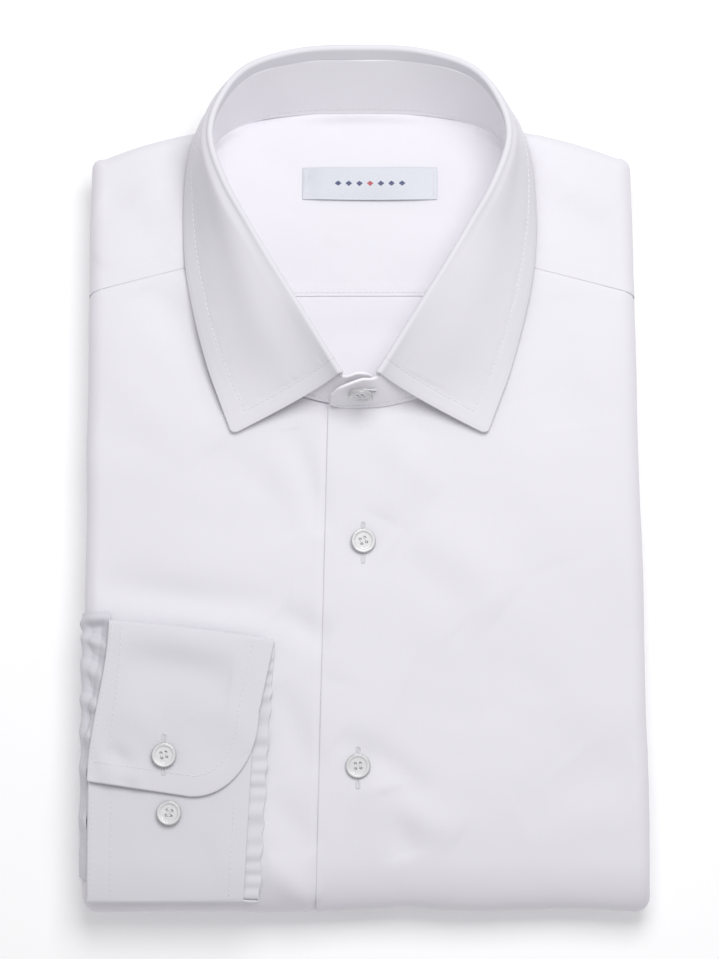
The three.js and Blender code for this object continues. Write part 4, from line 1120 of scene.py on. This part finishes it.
CUFF_CREASES = (
    # from x, from y, to x, to y, width, rise, bow
    (-104, -84, -56, -92, 10, -2.0, 3),
    (-112, -70, -50, -80, 7, 1.3, 1),
    (-108, -104, -88, -112, 8, 0.8, 2),
    (-62, -100, -48, -122, 7, 0.6, 2),
    (-74, -108, -60, -130, 8, -0.5, 1),
    (-112, -122, -96, -128, 4, -0.9, 1),
    (-108, -131, -94, -134, 3, 0.5, 0),
    (-112, -158, -60, -172, 10, -0.6, 3),
    (-104, -146, -94, -176, 7, 0.5, 2),
    (-66, -150, -54, -180, 6, 0.5, 1),
)


def rest_height(x, y):
    """Height of the front that the cuff lies on, and a little less over the bottom fold."""
    over = np.maximum(0, FOLD_START_Y - y) / (FOLD_START_Y - CUFF_BOTTOM_Y)
    front = top_height(np.maximum(x, EDGE_ROLL - LEFT_EDGE_X), np.maximum(y, FOLD_START_Y))
    return front - CUFF_DROOP * over**2


def above_front(x, y, height):
    """Points at a height over the front that the cuff lies on."""
    return np.stack([x, y, rest_height(x, y) + height], -1)


def down_cuff(y, end_y=CUFF_BOTTOM_Y):
    """0 at the cuff's top and 1 at its lower fold, or at another end."""
    return (CUFF_TOP_Y - y) / (CUFF_TOP_Y - end_y)


def cuff_seam_x(y):
    """The sleeve seam's side of the cuff, which leans out towards the flap's end."""
    return mix(*CUFF_SEAM_X, smoothstep(y, CUFF_TOP_Y, FLAP_SEAM_Y))


def tilt_top(across, y):
    """The cuff's top leans: y sinks towards the hand, in proportion from the corner's centre up."""
    share = np.clip(1 - down_cuff(y, FLAP_CORNER[1]), 0, 1.1)
    return y - CUFF_TOP_FALL * np.clip(across, 0, 1) ** CUFF_TOP_BEND * share


def cuff_relief(x, y):
    """Soft buckles of the cuff: its creases, a dip round each button, ripples at the flap's end."""
    ripples = 0.30 * np.sin((x + 0.35 * y) / 2.1) * smoothstep(x, -88, -100) * smoothstep(y, -112, -126)
    height = ripples * (y > FLAP_CORNER_Y) + drift(x, y, *CUFF_DRIFT) + creases(x, y, CUFF_CREASES)
    for button_x, button_y in CUFF_BUTTONS:
        far = np.hypot(x - button_x, y - button_y)
        height = height - CUFF_DIMPLE * np.exp(-((far / 7.0) ** 2))
    return height


def flap_point(across, y_plain):
    """A place on the flap from its place across, 0 at the seam and 1 at the hand, and its y before
    the corner is rounded. The rounding is the leaf's: inside the corner both distances, in radii,
    are scaled by max / root of the sum of squares."""
    hand = mix(*FLAP_HAND_X, np.clip(down_cuff(y_plain, FLAP_CORNER[1]), 0, 1))
    x = mix(cuff_seam_x(y_plain), hand, across)
    over_x = np.maximum(0, (x - FLAP_CORNER[0]) / FLAP_CORNER_RADII[0])
    over_y = np.maximum(0, (FLAP_CORNER[1] - y_plain) / FLAP_CORNER_RADII[1])
    scale = np.maximum(over_x, over_y) / np.maximum(np.hypot(over_x, over_y), 1e-9)
    both = (over_x > 0) & (over_y > 0)
    x = np.where(both, FLAP_CORNER[0] + FLAP_CORNER_RADII[0] * over_x * scale, x)
    y = np.where(both, FLAP_CORNER[1] - FLAP_CORNER_RADII[1] * over_y * scale, y_plain)
    return x, y


def flap_end_y(x):
    """The flap's end before its corner is rounded, a straight line that falls towards the hand."""
    return mix(FLAP_CORNER_Y, FLAP_SEAM_Y, (FLAP_CORNER[0] - x) / (FLAP_CORNER[0] - CUFF_SEAM_X[1]))


def flap_lift(x, y):
    """How far the flap stands over the plies below it. Its end lifts a little, most at the seam."""
    to_end = 1 - smoothstep(y - FLAP_CORNER_Y, 0, 22)
    lifted = to_end * (0.35 + 0.9 * smoothstep(x, -70, -112) + 0.25 * np.sin(x / 6.0))
    return lifted + cuff_relief(x, y)


def flap_height(x, y):
    """Height of the flap's middle over the front."""
    return CUFF_UNDER + 2 * CUFF_PLY + flap_lift(x, y)


across = steps((0, 0.03, 5), (0.03, 0.9, 84), (0.9, 1, 18))
end = flap_end_y(mix(CUFF_SEAM_X[1], FLAP_CORNER[0], np.clip(across / 0.6, 0, 1)))
top_turn_y = CUFF_TOP_Y - TOP_TURN - CUFF / 2
bottom_turn_y = CUFF_BOTTOM_Y + BOTTOM_TURN + CUFF / 2
half_turn = np.pi * steps((0, 1, 12))[:-1, None]

# the flap, from its end up
t = steps((0, 0.04, 6), (0.04, 0.5, 46), (0.5, 1, 26))[:-1, None]
x, y = flap_point(across, mix(end, top_turn_y, t))
y = tilt_top(across, y)
rows = [above_front(x, y, flap_height(x, y))]
# half round the top fold
x, _ = flap_point(across, top_turn_y + 0 * half_turn)
y = tilt_top(across, top_turn_y + TOP_TURN * np.sin(half_turn) + 0 * x)
turned = (TOP_TURN + flap_lift(x, top_turn_y) / 2) * (1 + np.cos(half_turn))
rows.append(above_front(x, y, CUFF_UNDER + turned))
# the lowest ply, whose hand edge is gathered and shows beside the flap
y = steps((top_turn_y, bottom_turn_y, 110))[:-1, None] + 0 * across
hand = mix(*CUFF_HAND_X, down_cuff(y))
hand = hand + 0.45 * np.sin(y / 1.9 + np.sin(y / 5.0)) * smoothstep(y, -80, -90)
x = mix(cuff_seam_x(y), hand, across)
y = tilt_top(across, y)
puckers = 0.42 * np.sin(y / 1.15 + 1.9 * np.sin(y / 7.0)) + 0.3 * np.sin(y / 2.7) + 0.25
rows.append(above_front(x, y, CUFF_UNDER + puckers * smoothstep(x - hand, -8.0, -5.0)))
# half round the bottom fold
y = bottom_turn_y - BOTTOM_TURN * np.sin(half_turn) + 0 * across
hand = CUFF_HAND_X[1] - UNDERLAP_INSET * smoothstep(half_turn, 0.4, np.pi)
x = mix(cuff_seam_x(y), hand, across)
rows.append(above_front(x, y, CUFF_UNDER + BOTTOM_TURN * (1 - np.cos(half_turn))))
# the button end, up under the flap
y = steps((bottom_turn_y, UNDERLAP_END_Y, 70))[:, None] + 0 * across
x = mix(cuff_seam_x(y) + 0.4, mix(*CUFF_HAND_X, down_cuff(y)) - UNDERLAP_INSET, across)
rows.append(above_front(x, y, CUFF_UNDER + CUFF_PLY + 0.5 * cuff_relief(x, y)))
middle = np.concatenate(rows)
travel = np.cumsum(np.linalg.norm(np.gradient(middle[:, 40], axis=0), axis=-1))[:, None]
# a darker copy of the poplin: painted shade over the whole cuff
cuff_painted_shade = poplin("cuff_poplin_painted_shade", (0.722, 0.713, 0.750))
cuff = skin("barrel_cuff", middle, CUFF, middle[..., 0], travel, cuff_painted_shade)
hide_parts("cuff_right")

# ---- Right sleeve -------------------------------------------------------------------------------
# A darker copy of the same poplin, as painted shade. It comes round the side of the folded shirt from
# behind and is gathered into the cuff, so it is drawn into small pleats.

SLEEVE = 0.8  # thickness
SLEEVE_ABOVE = 0.5
SLEEVE_TOP_V = -60.5
SLEEVE_END_V = -176.0
SLEEVE_DRIFT = (61, 12.0, 0.10)  # seed, wave length and rise
GATHER_STRENGTH, GATHER_DEPTH = 2.4, 0.45  # times the rises in the table, and no deeper than this
CURL_RISE, CURL_WIDTH, CURL_SLANT = 1.3, 1.9, 0.12  # the turned top end

SLEEVE_CREASES = (
    # from u, from v, to u, to v, width, rise, bow
    (-130, -66, -107, -70, 2.2, -0.9, 0),
    (-130, -70, -108, -77, 2.4, 1.1, 1),
    (-128, -76, -108, -84, 1.5, -1.2, 0),
    (-132, -80, -109, -92, 3.2, 0.9, 1),
    (-134, -90, -110, -98, 1.4, -1.3, 0),
    (-130, -96, -111, -103, 2.6, 1.0, 0),
    (-132, -104, -112, -108, 1.6, -1.2, 1),
    (-130, -110, -113, -117, 3.0, 0.9, 0),
    (-132, -119, -114, -125, 1.6, -1.1, 1),
    (-132, -126, -115, -133, 3.0, 0.8, 1),
    (-134, -138, -115, -142, 1.8, -0.9, 1),
    (-134, -148, -115, -154, 3.4, 0.7, 1),
    (-134, -160, -115, -164, 2.0, -0.7, 1),
)

v = steps((SLEEVE_TOP_V, SLEEVE_END_V, 150))[:, None]
t = steps((0, 1, 44))[None, :]
seam = cuff_seam_x(v)
roll = -side_roll_x(-1.0, v)
seam_turn = np.arcsin(np.clip((roll - seam) / EDGE_ROLL, 0, 1))
seam_u = np.where(seam > roll, seam, roll - EDGE_ROLL * seam_turn)
u = mix(seam_u - 0.3, roll - EDGE_ROLL * SIDE_WRAP, t)
v = v + 0 * t
pleats = creases(u, v, SLEEVE_CREASES) + drift(u, v, *SLEEVE_DRIFT)
ends = smoothstep(v, SLEEVE_END_V, SLEEVE_END_V + 8) * smoothstep(v, SLEEVE_TOP_V, SLEEVE_TOP_V - 4)
gathers = np.maximum(GATHER_STRENGTH * pleats, -GATHER_DEPTH)
gathers = gathers * (0.3 + 0.7 * ends) * (1 - 0.65 * smoothstep(u, -117, -123))
curl_line = SLEEVE_TOP_V - 2.8 + CURL_SLANT * (u + 112)
curl = CURL_RISE * np.exp(-(((v - curl_line) / CURL_WIDTH) ** 2))
sleeve_depth = sleeve_hollow(u, v) - SLEEVE_ABOVE - SLEEVE / 2 - gathers - curl
# a darker copy of the poplin: painted shade for the strip beside the cuff
sleeve_painted_shade = poplin("sleeve_poplin_painted_shade", (0.675, 0.667, 0.712))
sleeve = skin("lower_sleeve", body_point(u, v, sleeve_depth), SLEEVE, u, v, sleeve_painted_shade)
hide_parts("sleeve_right")

# ---- Buttons ------------------------------------------------------------------------------------
# Four-hole buttons with a raised rim, cut from trochus shell and sewn on with white thread: five
# down the front, three of them round on the underside, two on the cuff and one on the stand.

BUTTON_RADIUS = 5.5
BUTTON_THICKNESS = 2.3
BUTTON_RIM = 1.55  # width of the raised rim
BUTTON_DISH = 0.75  # depth of the middle below the rim
BUTTON_GAP = 0.3  # to the cloth
HOLE_RADIUS = 0.62
HOLE_OFFSET = 1.1
HOLE_DEPTH = 1.15
SEWING_THREAD = 0.24  # radius of the strands between the holes
PEARL_SHADES = ((0.67, 0.67, 0.66, 1), (0.85, 0.85, 0.87, 1))
# the rim's outer edge is painted darker: painted shade, a dark outline round each button
RIM_SHADE_COLOUR = (0.20, 0.20, 0.21, 1)
RIM_SHADE_START, RIM_SHADE_END, RIM_SHADE_SHARE = 0.0047, 0.0053, 0.50  # metres from the middle, and how much

pearl_and_rim_shade, tree, shader = new_material("button_pearl_and_rim_shade", Roughness=0.16, Coat_Weight=0.45, Coat_Roughness=0.06,
                                   Subsurface_Weight=0.12, Subsurface_Radius=(0.002, 0.002, 0.002))
place = node(tree, "ShaderNodeTexCoord").outputs["Object"]
cloud = node(tree, "ShaderNodeTexNoise", {"Vector": place, "Scale": 260.0, "Distortion": 1.5})
from_middle = node(tree, "ShaderNodeVectorMath", {0: cloth_lengths(tree)}, operation="LENGTH")
# painted shade: the dark outline, blended in by the distance from the button's middle
rim_shade = node(tree, "ShaderNodeMapRange", {"Value": from_middle.outputs["Value"], "From Min": RIM_SHADE_START,
                                          "From Max": RIM_SHADE_END, "To Min": 0.0, "To Max": RIM_SHADE_SHARE})
cloudy = blend_colours(tree, cloud.outputs[0], *PEARL_SHADES)
shell_and_rim_shade = blend_colours(tree, rim_shade.outputs[0], cloudy, RIM_SHADE_COLOUR)
tree.links.new(shell_and_rim_shade, shader.inputs["Base Color"])


def twisted(name, roughness, ribs, direction, shades, strength, distance):
    """Thread whose twist is a wave texture along its lengths, which both shades and raises it."""
    material, tree, shader = new_material(name, Roughness=roughness, Sheen_Weight=0.3)
    twist = node(tree, "ShaderNodeTexWave", {"Vector": cloth_lengths(tree), **ribs},
                 bands_direction=direction)
    shade = blend_colours(tree, twist.outputs[0], *shades)
    tree.links.new(shade, shader.inputs["Base Color"])
    add_bump(tree, shader, twist.outputs[0], strength, distance)
    return material


thread_white = twisted("thread_white", 0.55, {"Scale": 900.0}, "DIAGONAL",
                       ((0.72, 0.72, 0.75, 1), (0.88, 0.88, 0.90, 1)), 0.4, 0.00005)


def button_frame(facing, spin):
    """Right, up and facing directions of a button, spun in its own plane."""
    facing = unit(np.asarray(facing, float))
    right = unit(np.cross([0.0, 1.0, 0.2], facing))
    up = np.cross(facing, right)
    turned = right * np.cos(spin) + up * np.sin(spin)
    return np.stack([turned, np.cross(facing, turned), facing])


def button_disc():
    """A button on the origin as a surface of revolution: from the middle of its face out over the
    dished centre and the rounded rim, and back under to the middle. Four pits are its holes."""
    face = steps((0.02, 2.6, 26), (2.6, 3.9, 6), (3.9, BUTTON_RADIUS - 0.25, 14))
    rim_middle = BUTTON_RADIUS - BUTTON_RIM / 2
    dish = BUTTON_THICKNESS - BUTTON_DISH * smoothstep(rim_middle - face, 0.35, 1.25)
    round_rim = 0.22 * np.clip(np.abs(face - rim_middle) / (BUTTON_RIM / 2), 0, 1) ** 2
    dish = dish - round_rim * (face > rim_middle - 0.5)
    turn = steps((0.25, np.pi - 0.3, 10))
    side_r = BUTTON_RADIUS - 0.5 + 0.5 * np.sin(turn)
    side_z = 1.15 + 0.9 * np.cos(turn)
    under = steps((BUTTON_RADIUS - 0.9, 0.02, 8))
    r = np.concatenate([face, side_r, under])
    z = np.concatenate([dish, side_z, 0.12 + 0 * under])
    angle = np.linspace(0, 2 * np.pi, 97)[:-1]
    x, y = r[:, None] * np.cos(angle), r[:, None] * np.sin(angle)
    height = z[:, None] + 0 * x
    for sign_x, sign_y in ((-1, -1), (-1, 1), (1, -1), (1, 1)):
        far = np.hypot(x - sign_x * HOLE_OFFSET, y - sign_y * HOLE_OFFSET)
        pit = HOLE_DEPTH * (1 - smoothstep(far, HOLE_RADIUS - 0.16, HOLE_RADIUS + 0.08))
        height[:len(face)] -= pit[:len(face)]
    ring = np.arange(x.size).reshape(x.shape)
    caps = [ring[0].tolist(), ring[-1, ::-1].tolist()]
    return np.stack([x, y, height], -1).reshape(-1, 3), between_rings(ring).tolist() + caps


INSIDE_OUT = [0, 3, 2, 1]  # the corners of a face in the other direction


def round_rings(path, first, second, radius, sides):
    """Rings of points round a path: first times the cosine and second times the sine."""
    angle = np.linspace(0, 2 * np.pi, sides + 1)[:-1, None]
    return path[:, None] + radius * (first[:, None] * np.cos(angle) + second[:, None] * np.sin(angle))


def tube(path, radius, sides=8):
    """A round thread along a path of points, tapered at both ends: rings of the radius times the
    fourth root of 1 - t to the eighth, t from -1 to 1. Returns its points, faces and lengths."""
    along = unit(np.gradient(path, axis=0))
    first = unit(np.cross(along, [0.31, 0.17, 0.93]))
    second = np.cross(along, first)
    t = np.linspace(-0.995, 0.995, len(path))
    points = round_rings(path, first, second, (radius * (1 - t**8) ** 0.25)[:, None, None], sides)
    ring = np.arange(len(path) * sides).reshape(-1, sides)
    faces = between_rings(ring)[:, INSIDE_OUT].tolist() + [ring[0, ::-1].tolist(), ring[-1].tolist()]
    run = np.linspace(0, 1, len(path))[:, None] * np.linalg.norm(path[-1] - path[0])
    lengths = np.stack(np.broadcast_arrays(run, np.linspace(0, 2 * np.pi * radius, sides)), -1)
    return points.reshape(-1, 3), faces, lengths.reshape(-1, 2)


def joined(name, parts, material):
    """One piece out of many (points, faces, lengths)."""
    start = np.cumsum([0] + [len(points) for points, _, _ in parts])
    faces = [[int(k + first) for k in face] for first, (_, loop, _) in zip(start, parts)
             for face in loop]
    points = np.concatenate([points for points, _, _ in parts])
    lengths = np.concatenate([lengths for _, _, lengths in parts])
    return new_piece(name, points, faces, lengths, material)


DISC_POINTS, DISC_FACES = button_disc()
sewing = []


def sew_button(name, stands_for, place, facing, spin, strands):
    """A button at a place, and its strands of thread, each an arch from one hole to another."""
    axes = button_frame(facing, spin)
    button = new_piece(name, place + DISC_POINTS @ axes, DISC_FACES, DISC_POINTS[:, :2], pearl_and_rim_shade)
    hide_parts(stands_for)
    t = np.linspace(0, 1, 13)[:, None]
    arch = BUTTON_THICKNESS - BUTTON_DISH - 0.55 + 0.85 * np.sin(np.pi * t) ** 0.6
    for start, end in np.array(strands) * HOLE_OFFSET:
        path = place + np.concatenate([mix(start, end, t), arch], 1) @ axes
        sewing.append(tube(path, SEWING_THREAD))


PARALLEL = (((-1, 1), (-1, -1)), ((1, 1), (1, -1)))
ZIGZAG = (((-1, 1), (1, 1)), ((1, 1), (-1, -1)), ((-1, -1), (1, -1)))
FRONT_LEANS = (((0.06, -0.05, 1), 0.35), ((-0.03, -0.07, 1), 0.1))  # facing and spin
CUFF_LEANS = (((0.02, -0.03, 1), 0.2, PARALLEL), ((-0.03, -0.02, 1), -0.15, ZIGZAG))
UNDER_SPIN = 0.4

for k, button_v in enumerate(BUTTON_V):
    spot = body_point(front_edge_u(button_v) + BUTTON_LINE, button_v)
    if button_v > FOLD_START_Y:
        spot = spot + [0, 0, BUTTON_GAP]
        facing, spin = FRONT_LEANS[k]
    else:
        spot[2] = BUTTON_GAP + BUTTON_THICKNESS
        facing, spin = (0, 0, -1), UNDER_SPIN * k
    sew_button(f"front_button_{k + 1}", f"button_front_{k + 1}", spot, facing, spin, PARALLEL)

for k, (x, y) in enumerate(CUFF_BUTTONS):
    spot = above_front(x, y, (3 - k) * CUFF_PLY + BUTTON_GAP)
    sew_button(f"cuff_button_{k + 1}", f"button_cuff_{k + 1}", spot, *CUFF_LEANS[k])

COLLAR_BUTTON_UP, COLLAR_BUTTON_OUT = 14.0, 2.3  # from the neckline and from the stand's middle
COLLAR_BUTTON_TURN = -0.1  # it faces a little to the right

stand_low, stand_top = STAND_OVER[0, :3], STAND_OVER[0, 3:]
stand_up = unit(stand_top - stand_low)
stand_out = unit(np.array([COLLAR_BUTTON_TURN, -stand_up[2], stand_up[1]]))
collar_spot = stand_low + stand_up * COLLAR_BUTTON_UP + stand_out * COLLAR_BUTTON_OUT
sew_button("stand_button", "button_collar", collar_spot, (COLLAR_BUTTON_TURN, -0.98, 0.19), 0.3, PARALLEL)

joined("button_threads", sewing, thread_white)

# ---- Buttonholes --------------------------------------------------------------------------------
# Each is a straight slit edged with close satin stitch: lengthwise down the front, lengthwise on
# the cuff's flap, and across on the stand.

FRONT_BUTTONHOLE, CUFF_BUTTONHOLE, STAND_BUTTONHOLE = 18.5, 18.0, 16.0  # lengths
BUTTONHOLE_BEAD = 0.48  # radius of the stitched edge
BUTTONHOLE_SPREAD = 0.62  # from the slit's middle to that of the stitches
BEAD_SIDES = 8

satin_stitch = twisted("buttonhole_silk", 0.5, {"Scale": 700.0, "Distortion": 0.6}, "X",
                       ((0.60, 0.60, 0.63, 1), (0.82, 0.82, 0.85, 1)), 0.6, 0.0001)


def buttonhole(surface, middle, along, length):
    """A closed bead round the slit, a stadium: two straights joined by half circles. surface gives
    the points over the cloth of an array of places (u, v)."""
    half = length / 2 - BUTTONHOLE_SPREAD
    turn = np.linspace(-np.pi / 2, np.pi / 2, 7)
    end_x, end_y = BUTTONHOLE_SPREAD * np.cos(turn), BUTTONHOLE_SPREAD * np.sin(turn)
    straight = np.linspace(-half, half, 24)[1:-1]
    side_y = BUTTONHOLE_SPREAD + 0 * straight
    x = np.concatenate([half + end_x, straight[::-1], -half - end_x, straight])
    y = np.concatenate([end_y, side_y, -end_y, -side_y])
    beside = (-along[1], along[0])
    path = surface(*(middle[k] + x * along[k] + y * beside[k] for k in (0, 1)))
    forward = unit(np.roll(path, -1, 0) - np.roll(path, 1, 0))
    first = unit(np.cross(forward, [0.05, 0.02, 1.0]))
    points = round_rings(path, first, np.cross(forward, first), BUTTONHOLE_BEAD, BEAD_SIDES)
    ring = np.arange(len(path) * BEAD_SIDES).reshape(-1, BEAD_SIDES)
    faces = between_rings(np.concatenate([ring, ring[:1]]))[:, INSIDE_OUT]
    run = np.cumsum(np.linalg.norm(np.roll(path, -1, 0) - path, axis=-1))[:, None]
    lengths = np.stack(np.broadcast_arrays(run, np.linspace(0, 3, BEAD_SIDES)), -1)
    return points.reshape(-1, 3), faces.tolist(), lengths.reshape(-1, 2)


def on_left_front(u, v):
    """Just over the left front's outer surface."""
    return body_point(u, v, left_front_depth(u, v) + 0.05)


def on_flap(x, y):
    """Just over the flap of the cuff."""
    return above_front(x, y, flap_height(x, y) + CUFF / 2 - 0.05)


def on_stand(u, v):
    """Just over the stand's outer face, u across it and v up it from the button."""
    side = np.cross(stand_up, stand_out)
    return collar_spot - stand_out * 1.45 + u[:, None] * side + v[:, None] * stand_up


holes = [buttonhole(on_left_front, (front_edge_u(v) + BUTTON_LINE, v - 0.6), (0, 1), FRONT_BUTTONHOLE)
         for v in BUTTON_V[:2]]
flap_x, flap_y = CUFF_BUTTONS[0]
holes.append(buttonhole(on_flap, (flap_x, flap_y + 0.5), (0, 1), CUFF_BUTTONHOLE))
holes.append(buttonhole(on_stand, (-1.5, 0.0), (1, 0), STAND_BUTTONHOLE))
joined("buttonholes", holes, satin_stitch)

# ---- Stitching ----------------------------------------------------------------------------------
# Lockstitch in white thread, seven stitches to 17 millimetres, each one sunk at both ends: round
# the leaf and the cuff, along the stand, the yoke and the ends of the label.

STITCH_PITCH = 2.4
STITCH_LENGTH = 1.75
STITCH_RADIUS = 0.24
STITCH_SIDES = 6
STITCH_RINGS = np.array([-0.98, -0.62, 0.0, 0.62, 0.98])  # from its middle, in halves of its length
LEVEL = np.array([0.0, 0.0, 1.0])  # the normal of what lies flat


def stitches(path, normal=LEVEL, pitch=STITCH_PITCH):
    """A row of stitches along a line of points. Each is a bead of six sides whose radius is that of
    half an ellipse, with its middle a third of its radius over the surface."""
    travel = np.concatenate([[0], np.cumsum(np.linalg.norm(np.diff(path, axis=0), axis=-1))])
    spot = np.arange(pitch / 2, travel[-1], pitch)
    where = (spot[:, None] + STITCH_RINGS * STITCH_LENGTH / 2).ravel()

    def carried(rows):
        """The line's rows of numbers, worked out at each ring of the stitches."""
        return np.stack([np.interp(where, travel, rows[:, k]) for k in range(3)], -1)

    over = unit(carried(normal + 0 * path))
    beside = unit(np.cross(over, unit(carried(np.gradient(path, travel, axis=0)))))
    wide = np.tile(STITCH_RADIUS * np.sqrt(1 - STITCH_RINGS**2 * 0.97), len(spot))[:, None, None]
    points = round_rings(carried(path) + over * STITCH_RADIUS * 0.3, beside, over, wide, STITCH_SIDES)
    ring = np.arange(len(where) * STITCH_SIDES).reshape(len(spot), -1, STITCH_SIDES)
    faces = between_rings(ring).tolist() + ring[:, 0, ::-1].tolist() + ring[:, -1].tolist()
    lengths = np.stack(np.broadcast_arrays(where[:, None], np.arange(STITCH_SIDES) * 0.25), -1)
    return points.reshape(-1, 3), faces, lengths.reshape(-1, 2)


def leaf_line(at, part):
    """Points and normals on the leaf's visible face along a line, by differences of 0.01."""
    plain, reach = leaf_surface(at, part)
    ahead, behind = leaf_surface(at + 0.01, part)[0], leaf_surface(at - 0.01, part)[0]
    further, nearer = leaf_surface(at, part + 0.01)[0], leaf_surface(at, part - 0.01)[0]
    normal = unit(np.cross(ahead - behind, further - nearer))
    height = LEAF / 2 + leaf_relief(at, part, (2 - part) * reach)
    return plain + normal * height[:, None], normal


# the leaf: down from the fold, along the outer edge and up again
stitch_at = FRONT - LEAF_STITCH / LEAF_SPREAD
line_at = np.linspace(-stitch_at, stitch_at, 500)
outer_part = 2 - LEAF_STITCH / leaf_surface(line_at, 2 + 0 * line_at)[1]
down = np.linspace(0.2, outer_part[0], 80)[:-1]
line_at = np.concatenate([-stitch_at + 0 * down, line_at, stitch_at + 0 * down])
rows = [stitches(*leaf_line(line_at, np.concatenate([down, outer_part, down[::-1]])))]

# the cuff's flap: down the hand edge, round the corner and along the end, then beside the seam
FLAP_STITCH = 8.4  # from the edge to the stitches
FLAP_SEAM_ROWS = ((1.0, 1.0), (4.6, 9.4))  # from the seam at the top and at the end
turn = np.linspace(0, np.pi / 2, 60)
y = np.linspace(CUFF_TOP_Y - 1, FLAP_CORNER[1], 40)[:-1]
hand = mix(*FLAP_HAND_X, down_cuff(y, FLAP_CORNER[1]))
end_x = np.linspace(FLAP_CORNER[0], CUFF_SEAM_X[1] + 2, 60)[1:]
x = np.concatenate([hand - FLAP_STITCH,
                    FLAP_CORNER[0] + (FLAP_CORNER_RADII[0] - FLAP_STITCH) * np.cos(turn), end_x])
y = np.concatenate([tilt_top(0.88, y),
                    FLAP_CORNER[1] - (FLAP_CORNER_RADII[1] - FLAP_STITCH) * np.sin(turn),
                    flap_end_y(end_x) + FLAP_STITCH])
rows.append(stitches(above_front(x, y, flap_height(x, y) + CUFF / 2)))
for inset in FLAP_SEAM_ROWS:
    y = np.linspace(CUFF_TOP_Y - 2, FLAP_SEAM_Y - 1, 60)
    x = cuff_seam_x(y) + mix(*inset, down_cuff(y, FLAP_SEAM_Y))
    rows.append(stitches(above_front(x, y, flap_height(x, y) + CUFF / 2)))

# the button end below the flap: two rows beside the seam, one beside the hand
y = np.linspace(FLAP_CORNER_Y - 1, CUFF_BOTTOM_Y + 3, 60)
hand = mix(*CUFF_HAND_X, down_cuff(y)) - UNDERLAP_INSET
for x in (cuff_seam_x(y) + 1.4, cuff_seam_x(y) + 10.0, hand - 5.8):
    height = CUFF_UNDER + CUFF_PLY + 0.5 * cuff_relief(x, y) + CUFF / 2
    rows.append(stitches(above_front(x, y, height)))

# the two ends of the label, the back seam of the yoke, and the stand on both its faces
for x in (LABEL_X[0] + LABEL_END, LABEL_X[1] - LABEL_END):
    line_v = np.linspace(LABEL_Y[1] - 0.8, LABEL_Y[0] + 0.8, 20)
    rows.append(stitches(label_surface(x + 0 * line_v, line_v) + LEVEL * 0.15, pitch=1.6))

line_u = np.linspace(-80, 80, 160)
line_v = BACK_YOKE_SEAM_Y + 2.0 + 0 * line_u
line_depth = floor_depth(line_v) - floor_relief(line_u, line_v) - 0.08
rows.append(stitches(body_point(line_u, line_v, line_depth)))

SEAM_COLUMN = 4  # this column of the stand's grid lies about STAND_SEAM from the neckline
for face in (1, -1):
    path = stand_middle[:, SEAM_COLUMN] + face * stand_normal[:, SEAM_COLUMN] * (STAND / 2 - 0.15)
    rows.append(stitches(path[8:-8], face * stand_normal[8:-8, SEAM_COLUMN]))
joined("stitching", rows, thread_white)
